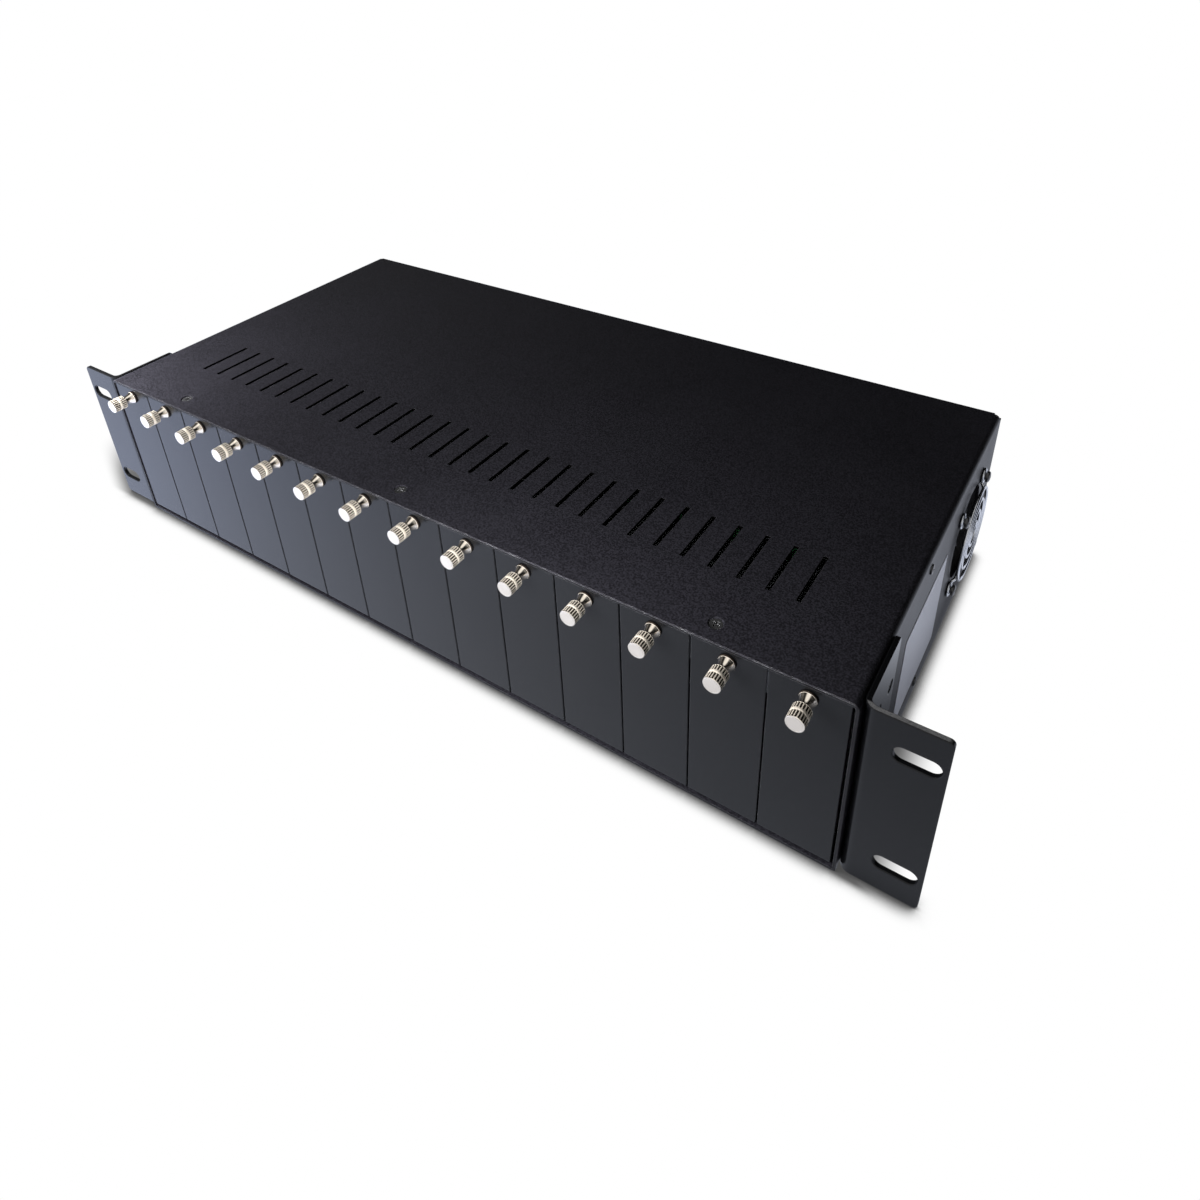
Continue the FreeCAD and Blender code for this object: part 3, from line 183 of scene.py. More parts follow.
class Shader:
    """A node tree and the one method that adds a node to it."""

    def __init__(self, tree: bpy.types.NodeTree) -> None:
        """Empties the node tree of a material or world."""
        self.tree = tree
        tree.nodes.clear()

    def node(self, kind: str, settings: dict[str, Any], sockets: dict[Any, Any]) -> bpy.types.Node:
        """Adds a node.

        Args:
            kind: The node's type.
            settings: Properties, set first.
            sockets: Values, sockets or Numbers for the inputs, by name or number.

        Returns:
            The node.
        """
        made = self.tree.nodes.new(kind)
        for key, value in settings.items():
            setattr(made, key, value)
        for key, value in sockets.items():
            source = value.socket if isinstance(value, Number) else value
            if isinstance(source, bpy.types.NodeSocket):
                self.tree.links.new(source, made.inputs[key])
            elif made.inputs[key].type == "RGBA":
                made.inputs[key].default_value = (*source, 1.0)
            else:
                made.inputs[key].default_value = source
        return made

    @cached_property
    def place(self) -> Socket:
        """The object's coordinates."""
        return self.node("ShaderNodeTexCoord", {}, {}).outputs["Object"]

    @cached_property
    def normal(self) -> Socket:
        """The direction that the surface faces."""
        return self.node("ShaderNodeNewGeometry", {}, {}).outputs["Normal"]

    def rays(self) -> tuple[Number, Number]:
        """Tells the kinds of ray apart.

        Returns:
            1 for rays from the camera, and 1 for rays that a surface mirrors or lets through.
        """
        found = self.node("ShaderNodeLightPath", {}, {}).outputs
        glossy = Number(self, found["Is Glossy Ray"])
        through = Number(self, found["Is Transmission Ray"])
        return Number(self, found["Is Camera Ray"]), glossy.highest(through)

    def part(self, vector: Socket, axis: str) -> Number:
        """Gives one part of a vector."""
        return Number(self, self.node("ShaderNodeSeparateXYZ", {}, {0: vector}).outputs[axis])

    def at(self, axis: str) -> Number:
        """Gives one of the object's coordinates."""
        return self.part(self.place, axis)

    def noise(self, size: float, detail: float = 2.0, stretch: Optional[Triple] = None) -> Number:
        """Adds soft noise.

        Args:
            size: The size of its patches, in metres.
            detail: The number of finer layers.
            stretch: A factor for each direction, so that the patches run along one of them.

        Returns:
            A value round 0.5.
        """
        place = self.place
        if stretch:
            place = self.node("ShaderNodeMapping", {}, {"Vector": place, "Scale": stretch}).outputs[0]
        sockets = {"Vector": place, "Scale": 1.0 / size, "Detail": detail, "Roughness": NOISE_ROUGHNESS}
        return Number(self, self.node("ShaderNodeTexNoise", {}, sockets).outputs[0])

    def mix(self, factor: Term, first: Any, second: Any) -> Socket:
        """Mixes two colours or colour sockets: 0 gives the first and 1 the second."""
        settings = {"data_type": "RGBA"}
        return self.node("ShaderNodeMix", settings, {0: factor, 6: first, 7: second}).outputs[2]

    def edges(self, width: float) -> tuple[Number, Socket]:
        """Finds a piece's outer and inner edges.

        Args:
            width: How far from an edge it still counts, in metres.

        Returns:
            A value that is 0 on flat faces and rises at edges, and the softened normal.
        """
        soft = self.node("ShaderNodeBevel", {"samples": EDGE_LOOKS}, {"Radius": width}).outputs[0]
        sockets = {0: soft, 1: self.normal}
        dot = self.node("ShaderNodeVectorMath", {"operation": "DOT_PRODUCT"}, sockets)
        return 1.0 - Number(self, dot.outputs["Value"]), soft

    def bump(self, height: Term, depth: float, strength: float, normal: Optional[Socket] = None) -> Socket:
        """Turns a height into a normal.

        Args:
            height: The height, from 0 to 1.
            depth: What a height of 1 stands for, in metres.
            strength: How much of it shows.
            normal: The normal to start from.

        Returns:
            The normal.
        """
        sockets = {"Height": height, "Distance": depth, "Strength": strength}
        if normal is not None:
            sockets["Normal"] = normal
        return self.node("ShaderNodeBump", {}, sockets).outputs[0]


def new_material(name: str) -> tuple[bpy.types.Material, Shader]:
    """Starts an empty material.

    Args:
        name: The material's name.

    Returns:
        The material and its shader.
    """
    material = bpy.data.materials.new(name)
    material.use_nodes = True
    return material, Shader(material.node_tree)


def close_surface(shader: Shader, sockets: dict[str, Any]) -> None:
    """Ends a material in one Principled shader with these values and links."""
    surface = shader.node("ShaderNodeBsdfPrincipled", {}, sockets)
    shader.node("ShaderNodeOutputMaterial", {}, {"Surface": surface.outputs[0]})


def scaled(colour: Colour, factor: float, lift: float = 0.0) -> list[float]:
    """Makes a colour deeper or paler by a factor, then lifts it."""
    return [channel * factor + lift for channel in colour]


@dataclass(frozen=True)
class PaintedEdgeTone:
    """A sheet's cut edge near the front, coloured with painted shade or a partly painted highlight."""

    axis: str
    sign: float
    depth: float
    colour: Colour
    above: float = 0.0
    right_of: float = -1.0
    facing: Span = (0.8, 0.95)
    fade: float = 0.8 * MM
    border: float = 1.0 * MM

    def share(self, shader: Shader) -> Number:
        """Finds the faces that look along the axis, near the front.

        Args:
            shader: The paint's shader.

        Returns:
            1 on the cut edge and 0 elsewhere.
        """
        end = FRONT_EDGE + self.depth
        near = shader.at("Y").rise(end + self.fade, end)
        high = shader.at("Z").rise(self.above - self.border, self.above)
        right = shader.at("X").rise(self.right_of - self.border, self.right_of)
        square = (shader.part(shader.normal, self.axis) * self.sign).rise(*self.facing)
        return square * near * high * right


@dataclass(frozen=True)
class VentShade:
    """The upright walls of the slots punched through a roof, near black with painted shade."""

    low: float
    start: float
    end: float
    colour: Colour
    steep: Span = (0.5, 0.2)
    border: float = 1.0 * MM

    def share(self, shader: Shader) -> Number:
        """Finds the walls of the slots.

        Args:
            shader: The paint's shader.

        Returns:
            1 on the walls and 0 elsewhere.
        """
        upright = shader.part(shader.normal, "Z").rise(*self.steep)
        high = shader.at("Z").rise(self.low - self.border, self.low)
        along = shader.at("Y") - FRONT_EDGE
        behind = along.rise(self.start, self.start + self.border)
        before = along.rise(self.end, self.end - self.border)
        return upright * high * behind * before


@dataclass(frozen=True)
class Paint:
    """Paint or powder coat on sheet metal, thin and rubbed along the edges, with painted highlights along
    some edges.
    """

    colour: Colour
    edge_wear_and_highlight_colour: Colour
    roughness: float
    gloss: float
    grain: float
    relief: float
    speckle: float
    fleck: float
    wear_and_highlight: float
    front_highlight: float = 0.0
    painted_edge_tone: Optional[PaintedEdgeTone] = None
    vent_shade: Optional[VentShade] = None
    edge: float = 0.35 * MM
    blotch: float = 38.0 * MM
    dust: Colour = (0.16, 0.16, 0.17)
    brow: Span = (3.0 * MM, 1.0 * MM)
    crest: Span = (0.8 * MM, 0.3 * MM)
    highlight_rise: Span = (-200.0 * MM, 50.0 * MM)
    least_highlight: float = 0.3
    least_scuffed: float = 0.35

    def edge_wear_and_highlight(self, shader: Shader) -> Number:
        """Finds how far an edge is rubbed or carries a painted highlight: the painted highlight runs along
        the roof's front, stronger to the right.

        Args:
            shader: The paint's shader.

        Returns:
            The share of the worn colour on a sharp edge.
        """
        # Painted highlight: a bright line along the roof's front edge, stronger to the right
        back, front = self.brow
        brow = shader.at("Y").rise(FRONT_EDGE + back, FRONT_EDGE + front)
        below, top = self.crest
        crest = shader.at("Z").rise(ROOF - below, ROOF - top)
        rightward_highlight = shader.at("X").rise(*self.highlight_rise) * (1.0 - self.least_highlight)
        wear_and_highlight = (brow * crest * (self.least_highlight + rightward_highlight) * self.front_highlight).highest(self.wear_and_highlight)
        scuff = shader.noise(9.0 * self.grain, 4.0).rise(0.4, 0.6)
        return wear_and_highlight * (self.least_scuffed + scuff * (1.0 - self.least_scuffed))

    def body(self, shader: Shader, grain: Number, blotch: Number, edge: Number) -> Socket:
        """Mixes the paint's colour.

        Args:
            shader: The paint's shader.
            grain: The fine noise of the coat.
            blotch: The broad noise of the coat.
            edge: 0 on flat faces, rising at edges.

        Returns:
            The colour.
        """
        tone = blotch * 0.5 + 0.25 + grain.swing(self.speckle)
        body = shader.mix(tone, scaled(self.colour, 0.5), scaled(self.colour, 1.5))
        flecks = shader.noise(1.7 * self.grain, 1.0).rise(0.70, 0.78) * self.fleck
        body = shader.mix(flecks, body, self.dust)
        # Painted shade, or a partly painted highlight, on a cut edge
        if self.painted_edge_tone:
            cut = self.painted_edge_tone.share(shader) * (0.5 + grain.rise(0.35, 0.6) * 0.5)
            body = shader.mix(cut * (1.0 - edge.rise(0.0, 0.1)), body, self.painted_edge_tone.colour)
        # Pale edges: partly rub marks, partly painted highlights
        body = shader.mix(edge.rise(0.02, 0.3) * self.edge_wear_and_highlight(shader), body, self.edge_wear_and_highlight_colour)
        # Painted shade: the vents' walls near black
        if self.vent_shade:
            body = shader.mix(self.vent_shade.share(shader), body, self.vent_shade.colour)
        return body

    def make(self, name: str) -> bpy.types.Material:
        """Builds the material.

        Args:
            name: The material's name.

        Returns:
            The material.
        """
        material, shader = new_material(name)
        grain = shader.noise(self.grain, 3.0)
        blotch = shader.noise(self.blotch, 3.0)
        edge, soft = shader.edges(self.edge)
        close_surface(shader, {
            "Base Color": self.body(shader, grain, blotch, edge),
            "Roughness": self.roughness + blotch.swing(0.12) + grain.swing(0.1),
            "Specular IOR Level": self.gloss,
            "Normal": shader.bump(grain, self.relief, 1.0, soft),
        })
        return material


@dataclass(frozen=True)
class Metal:
    """Bare or plated metal with fine drawn or turned lines."""

    colour: Colour
    dull: Colour
    roughness: float
    line: Triple
    grain: float
    relief: float
    spangle: float = 0.0
    # the colour of the painted shade in a thumb screw's knurl valleys and on its collar
    groove: Optional[Colour] = None
    edge: float = 0.2 * MM
    haze: float = 14.0 * MM

    def make(self, name: str) -> bpy.types.Material:
        """Builds the material.

        Args:
            name: The material's name.

        Returns:
            The material.
        """
        material, shader = new_material(name)
        lines = shader.noise(self.grain, 3.0, self.line)
        haze = shader.noise(self.haze, 3.0)
        edge, soft = shader.edges(self.edge)
        tone = haze.rise(0.35, 0.75) * 0.6 + lines * 0.25
        if self.spangle:
            sockets = {"Vector": shader.place, "Scale": 1.0 / self.spangle}
            cells = shader.node("ShaderNodeTexVoronoi", {}, sockets)
            split = shader.node("ShaderNodeSeparateColor", {}, {0: cells.outputs["Color"]})
            tone = tone * 0.5 + Number(shader, split.outputs[0]) * 0.45
        body = shader.mix(tone, self.colour, self.dull)
        roughness = self.roughness + lines.swing(0.14) + haze.swing(0.12) - edge * 0.05
        metallic: Term = 1.0
        # Painted shade: the knurl's valleys and the collar, marked in the mesh, take the dark groove colour
        if self.groove:
            marks = shader.node("ShaderNodeAttribute", {"attribute_name": KNURL}, {})
            knurl = Number(shader, marks.outputs["Fac"])
            matt = knurl.rise(0.1, 0.4)
            body = shader.mix(knurl.rise(MATT_MARK, 0.78), body, self.groove)
            roughness = roughness + matt * 0.22
            metallic = 1.0 - matt * 0.38
        close_surface(shader, {
            "Base Color": body,
            "Metallic": metallic,
            "Roughness": roughness,
            "Normal": shader.bump(lines, self.relief, 0.6, soft),
        })
        return material


@dataclass(frozen=True)
class Moulded:
    """Moulded plastic, rubber or sheathing with a fine spark-eroded grain."""

    colour: Colour
    roughness: float
    grain: float
    relief: float
    gloss: float = 0.5
    edge: float = 0.3 * MM
    flow: float = 11.0 * MM

    def make(self, name: str) -> bpy.types.Material:
        """Builds the material.

        Args:
            name: The material's name.

        Returns:
            The material.
        """
        material, shader = new_material(name)
        grain = shader.noise(self.grain, 3.0)
        flow = shader.noise(self.flow)
        edge, soft = shader.edges(self.edge)
        tone = flow * 0.7 + edge.rise(0.03, 0.35) * 0.5
        close_surface(shader, {
            "Base Color": shader.mix(tone, scaled(self.colour, 0.75), scaled(self.colour, 1.35, 0.004)),
            "Roughness": self.roughness + grain.swing(0.12) + flow.swing(0.1),
            "Specular IOR Level": self.gloss,
            "Normal": shader.bump(grain, self.relief, 0.8, soft),
        })
        return material


@dataclass(frozen=True)
class Laminate:
    """Green solder mask over a woven board, with faint copper areas under it."""

    mask: Colour = (0.012, 0.075, 0.03)
    copper: Colour = (0.03, 0.14, 0.05)
    line: Triple = (1.0, 1.0, 2.5)
    weave: float = 0.6 * MM
    area: float = 16.0 * MM
    roughness: float = 0.3
    relief: float = 0.03 * MM

    def make(self, name: str) -> bpy.types.Material:
        """Builds the material.

        Args:
            name: The material's name.

        Returns:
            The material.
        """
        material, shader = new_material(name)
        pours = shader.noise(self.area, 0.0).rise(0.48, 0.52)
        weave = shader.noise(self.weave, 1.0, self.line)
        close_surface(shader, {
            "Base Color": shader.mix(pours * 0.8 + weave * 0.2, self.mask, self.copper),
            "Roughness": self.roughness + weave.swing(0.15),
            "Normal": shader.bump(weave * 0.4 + pours * 0.6, self.relief, 0.5),
        })
        return material


@dataclass(frozen=True)
class Film:
    """Blank sticker film with a faint grain and slightly darker cut edges."""

    colour: Colour = (0.56, 0.58, 0.67)
    shade: Colour = (0.46, 0.48, 0.56)
    line: Triple = (1.0, 0.3, 1.0)
    fibre: float = 0.5 * MM
    fade: float = 30.0 * MM
    edge: float = 0.6 * MM
    roughness: float = 0.42
    relief: float = 0.03 * MM

    def make(self, name: str) -> bpy.types.Material:
        """Builds the material.

        Args:
            name: The material's name.

        Returns:
            The material.
        """
        material, shader = new_material(name)
        fibre = shader.noise(self.fibre, 3.0, self.line)
        fade = shader.noise(self.fade)
        edge, soft = shader.edges(self.edge)
        tone = fade * 0.5 + fibre * 0.25 + edge.rise(0.0, 0.2) * 0.4
        close_surface(shader, {
            "Base Color": shader.mix(tone, self.colour, self.shade),
            "Roughness": self.roughness + fibre.swing(0.2),
            "Normal": shader.bump(fibre + fade * 2.0, self.relief, 0.5, soft),
        })
        return material


# What the panels' and the ears' smooth black coat have in common
LACQUER: dict[str, Any] = {
    "colour": (0.002, 0.0021, 0.0024), "edge_wear_and_highlight_colour": (0.1, 0.1, 0.11), "gloss": 0.2, "grain": 0.4 * MM,
    "relief": 0.003 * MM, "speckle": 0.4, "fleck": 0.02,
}

FINISHES: dict[Slot, Any] = {
    Slot.COVER: Paint(
        colour=(0.0108, 0.0104, 0.0132), edge_wear_and_highlight_colour=(0.6, 0.6, 0.62), roughness=0.42, gloss=0.12, grain=0.7 * MM,
        # The roof's front edge gets a painted highlight line
        relief=0.05 * MM, speckle=5.0, fleck=0.04, wear_and_highlight=0.1, front_highlight=1.0, edge=0.2 * MM,
        # Painted shade on the sheet's front-facing cut edge
        painted_edge_tone=PaintedEdgeTone(axis="Y", sign=-1.0, depth=0.5 * MM, colour=(0.003, 0.003, 0.0034)),
        # Near-black painted shade on the walls of the roof's vents
        vent_shade=VentShade(low=86.5 * MM, start=10.0 * MM, end=90.0 * MM, colour=(0.0006, 0.0006, 0.0006)),
    ),
    # The panels' pale edges are partly wear and partly a painted highlight along the gaps
    Slot.PANEL: Paint(**LACQUER, roughness=0.2, wear_and_highlight=0.5),
    Slot.EAR: Paint(
        **LACQUER, roughness=0.22, wear_and_highlight=0.1,
        # The right ear's top edge: a grained grey, partly the cut edge and partly a painted highlight,
        # right of 100 mm only
        painted_edge_tone=PaintedEdgeTone(axis="Z", sign=1.0, depth=4.0 * MM, colour=(0.1, 0.1, 0.102),
                        above=85.0 * MM, right_of=100.0 * MM),
    ),
    Slot.NICKEL: Metal(
        colour=(0.9, 0.82, 0.71), dull=(0.76, 0.68, 0.57), roughness=0.16, line=(1.0, 0.15, 1.0),
        grain=0.25 * MM, relief=0.004 * MM, groove=(0.036, 0.026, 0.02),
    ),
    Slot.ZINC: Metal(
        colour=(0.52, 0.53, 0.55), dull=(0.32, 0.33, 0.35), roughness=0.24, line=(1.0, 1.0, 0.3),
        grain=0.4 * MM, relief=0.01 * MM,
    ),
    Slot.SHEET: Metal(
        colour=(0.6, 0.61, 0.62), dull=(0.42, 0.43, 0.45), roughness=0.36, line=(0.15, 1.0, 1.0),
        grain=0.5 * MM, relief=0.01 * MM, spangle=7.0 * MM,
    ),
    # The screws' pale edges are partly wear and partly painted glints on rims and crosses
    Slot.SCREW: Paint(
        colour=(0.018, 0.018, 0.0186), edge_wear_and_highlight_colour=(0.7, 0.7, 0.72), roughness=0.3, gloss=0.6, grain=0.25 * MM,
        relief=0.008 * MM, speckle=0.4, fleck=0.1, wear_and_highlight=0.9, edge=0.16 * MM,
    ),
    Slot.PLASTIC: Moulded(colour=(0.014, 0.014, 0.015), roughness=0.5, grain=0.25 * MM, relief=0.02 * MM),
    Slot.GLOSS: Moulded(colour=(0.012, 0.012, 0.012), roughness=0.18, grain=0.5 * MM, relief=0.004 * MM),
    Slot.BOARD: Laminate(),
    Slot.BRASS: Metal(
        colour=(0.78, 0.62, 0.34), dull=(0.62, 0.46, 0.22), roughness=0.28, line=(1.0, 0.3, 1.0),
        grain=0.4 * MM, relief=0.008 * MM,
    ),
    Slot.LEAD: Moulded(
        colour=(0.02, 0.02, 0.02), roughness=0.45, grain=0.6 * MM, relief=0.02 * MM, gloss=0.4,
    ),
    Slot.STICKER: Film(),
}


class Workshop:
    """Makes each finish once and turns meshes into pieces."""

    def __init__(self) -> None:
        """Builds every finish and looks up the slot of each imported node."""
        self.finishes = {slot: finish.make(slot.value) for slot, finish in FINISHES.items()}
        self.slots = {row["node"]: Slot(row["material_slot"]) for row in frame["record"]["subparts"]}

    def dress_nodes(self) -> None:
        """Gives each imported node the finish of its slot."""
        for name, node in frame["nodes"].items():
            for held in node.material_slots:
                held.material = self.finishes[self.slots[name]]
            LOG.info("finish %s on %s", self.slots[name].value, name)

    def piece(self, shape: Mesh, name: str, slot: Slot, body: str) -> bpy.types.Object:
        """Turns a mesh into a piece that rides on a body.

        Args:
            shape: The mesh, in the frame; it is freed.
            name: The piece's name.
            slot: The slot whose finish it takes.
            body: The body that it rides on.

        Returns:
            The piece.
        """
        bmesh.ops.remove_doubles(shape, verts=shape.verts, dist=TINY)
        bmesh.ops.recalc_face_normals(shape, faces=shape.faces)
        for face in shape.faces:
            face.smooth = True
        mesh = bpy.data.meshes.new(name)
        shape.to_mesh(mesh)
        shape.free()
        mesh.set_sharp_from_angle(angle=math.radians(SHARP))
        mesh.materials.append(self.finishes[slot])
        made = bpy.data.objects.new(name, mesh)
        bpy.context.scene.collection.objects.link(made)
        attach(made, body)
        LOG.info("piece %s: %d faces on %s", name, len(mesh.polygons), body)
        return made


def spun(profile: Sequence[Point], steps: int) -> Mesh:
    """Turns a profile round the Z direction.

    Args:
        profile: (radius, height) points, from one end of the axis to the other.
        steps: The number of steps in a full turn.

    Returns:
        The closed mesh.
    """
    shape = bmesh.new()
    line = [shape.verts.new((radius, 0.0, height)) for radius, height in profile]
    edges = [shape.edges.new(pair) for pair in zip(line, line[1:])]
    bmesh.ops.spin(shape, geom=line + edges, cent=(0, 0, 0), axis=(0, 0, 1), angle=2 * math.pi,
                   steps=steps, use_merge=True)
    bmesh.ops.remove_doubles(shape, verts=shape.verts, dist=TINY)
    bmesh.ops.recalc_face_normals(shape, faces=shape.faces)
    return shape


def add_mesh(group: Mesh, shape: Mesh) -> None:
    """Adds one mesh to another.

    Args:
        group: The mesh that grows.
        shape: The mesh to add; it is freed.
    """
    held = bpy.data.meshes.new("held")
    shape.to_mesh(held)
    shape.free()
    group.from_mesh(held)
    bpy.data.meshes.remove(held)


def islands(node: str) -> list[tuple[Vector, Vector]]:
    """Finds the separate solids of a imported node.

    Args:
        node: The node's name.

    Returns:
        Each solid's lowest and highest corner, in order along X, then Y, then Z.
    """
    shape = bmesh.new()
    shape.from_mesh(frame["nodes"][node].data)
    bmesh.ops.remove_doubles(shape, verts=shape.verts, dist=TINY)
    waiting = set(shape.verts)
    boxes = []
    while waiting:
        reached = [waiting.pop()]
        for vert in reached:
            near = {edge.other_vert(vert) for edge in vert.link_edges} & waiting
            waiting -= near
            reached.extend(near)
        spots = [vert.co for vert in reached]
        low = Vector([min(spot[axis] for spot in spots) for axis in range(3)])
        high = Vector([max(spot[axis] for spot in spots) for axis in range(3)])
        boxes.append((low, high))
    shape.free()
    return sorted(boxes, key=lambda pair: tuple(round(part, 4) for part in pair[0]))


@dataclass
class ThumbScrews:
    """The captive thumb screws: knurled heads, narrow waists, trumpet flares and threaded shanks."""

    shop: Workshop
    count: int = 14
    head: float = 3.5 * MM
    back: float = 4.9 * MM
    reach: float = 12.0 * MM
    rim: float = 0.3 * MM
    rim_steps: int = 5
    groove_at: float = 8.1 * MM
    groove_half: float = 0.6 * MM
    groove: float = 3.42 * MM
    ring_in: float = 0.25 * MM
    ring_slope: float = 0.06 * MM
    ring_floor: float = 0.08 * MM
    hub: float = 1.4 * MM
    waist: float = 2.2 * MM
    fillet: float = 0.2 * MM
    flare: float = 3.2 * MM
    flare_start: float = 0.7 * MM
    flare_end: float = 4.1 * MM
    flare_steps: int = 8
    flare_power: float = 1.7
    collar: float = 3.4 * MM
    collar_end: float = 0.4 * MM
    seat: float = -0.35 * MM
    chamfer: float = 0.1 * MM
    lip: float = 0.05 * MM
    thread: float = 1.5 * MM
    thread_depth: float = 0.28 * MM
    pitch: float = 0.5 * MM
    flank: float = 0.2 * MM
    crest: float = 0.06 * MM
    run_out: float = 0.3 * MM
    teeth: int = 20
    columns: int = 4
    tooth_depth: float = 0.3 * MM
    tooth_gap: float = 0.02 * MM
    seed: int = 14

    def shank(self, foot: float) -> list[Point]:
        """Draws the half section of the threaded shank and the collar.

        Args:
            foot: The height of the shank's end.

        Returns:
            (radius, height) points from the shank's end to the collar's front.
        """
        root = self.thread - self.thread_depth
        points = [(0.0, foot), (root, foot)]
        height = foot + self.flank
        while height + self.pitch < self.seat - self.run_out:
            top = height + self.flank
            points += [(root, height), (self.thread, top), (self.thread, top + self.crest),
                       (root, top + self.crest + self.flank)]
            height += self.pitch
        face = self.collar - self.chamfer
        points += [(root, self.seat), (face, self.seat), (self.collar, self.seat + self.chamfer)]
        points += [(self.collar, self.collar_end - self.chamfer), (face, self.collar_end)]
        return points

    def trumpet(self) -> list[Point]:
        """Draws the half section of the flare and the waist.

        Returns:
            (radius, height) points from the flare's wide end to the back of the head.
        """
        points = []
        span = self.flare_end - self.flare_start
        for step in range(self.flare_steps + 1):
            part = step / self.flare_steps
            radius = self.waist + (self.flare - self.waist) * (1.0 - part) ** self.flare_power
            points.append((radius, self.flare_start + span * part))
        points += [(self.waist, self.back - self.fillet), (self.waist + self.fillet, self.back)]
        return points

    def bands(self) -> list[Span]:
        """Gives the two knurled stretches of the head."""
        half = self.groove_half + self.lip
        return [(self.back + self.rim, self.groove_at - half),
                (self.groove_at + half, self.reach - self.rim - self.tooth_gap)]

    def knob(self) -> list[Point]:
        """Draws the half section of the head, with a groove round it and a fine ring on its face.

        Returns:
            (radius, height) points from the back of the head to the middle of its face.
        """
        edge = self.head - self.rim
        points = [(edge, self.back), (self.head - self.lip, self.back + self.rim - self.lip)]
        low, high = self.groove_at - self.groove_half, self.groove_at + self.groove_half
        for start, end in self.bands():
            points += [(self.head, start), (self.head, end)]
            if end < self.groove_at:
                points += [(self.groove, low), (self.groove + self.lip, low + self.chamfer)]
                points += [(self.groove + self.lip, high - self.chamfer), (self.groove, high)]
        for step in range(self.rim_steps + 1):
            angle = step / self.rim_steps * math.pi / 2
            points.append((edge + self.rim * math.cos(angle),
                           self.reach - self.rim + self.rim * math.sin(angle)))
        outer = edge - self.ring_in
        inner = outer - 2 * self.ring_slope - self.ring_floor
        sunk = self.reach - self.lip
        points += [(outer, self.reach), (outer - self.ring_slope, sunk)]
        points += [(inner + self.ring_slope, sunk), (inner, self.reach)]
        points += [(self.hub, self.reach), (0.0, self.reach)]
        return points

    def knurl(self, shape: Mesh) -> None:
        """Presses straight teeth into both bands, and marks what is matt and what takes painted shade: the
        valleys and the collar.

        Args:
            shape: The spun screw.
        """
        steps = self.columns * self.teeth
        shrink = 1.0 - self.tooth_depth / self.head
        marks = shape.verts.layers.float.new(KNURL)
        for vert in shape.verts:
            height = vert.co.z
            if vert.co.to_2d().length > self.waist and height < self.collar_end + TINY:
                vert[marks] = PAINTED_SHADE_MARK
            if abs(height - self.groove_at) < self.groove_half + TINY:
                vert[marks] = MATT_MARK
            if not any(low - TINY <= height <= high + TINY for low, high in self.bands()):
                continue
            column = round(math.atan2(vert.co.y, vert.co.x) / (2 * math.pi) * steps) % self.columns
            vert[marks] = MATT_MARK
            if column >= self.columns // 2:
                vert.co.x *= shrink
                vert.co.y *= shrink
                vert[marks] = PAINTED_SHADE_MARK

    def build(self) -> None:
        """Builds one screw in front of each blank panel."""
        turns = random.Random(self.seed)
        for number in range(1, self.count + 1):
            name = f"thumb_screw_{number:02d}"
            low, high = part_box(name)
            face = low.y + self.reach
            foot = -(high.y - face)
            shape = spun(self.shank(foot) + self.trumpet() + self.knob(), self.columns * self.teeth)
            self.knurl(shape)
            place = Matrix.Translation(((low.x + high.x) / 2, face, (low.z + high.z) / 2))
            spin = Matrix.Rotation(turns.uniform(0.0, 2 * math.pi), 4, "Z")
            bmesh.ops.transform(shape, matrix=place @ Facing.FRONT.turn() @ spin, verts=shape.verts)
            screw = self.shop.piece(shape, f"knurled_screw_{number:02d}", Slot.NICKEL, name)
            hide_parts(name)


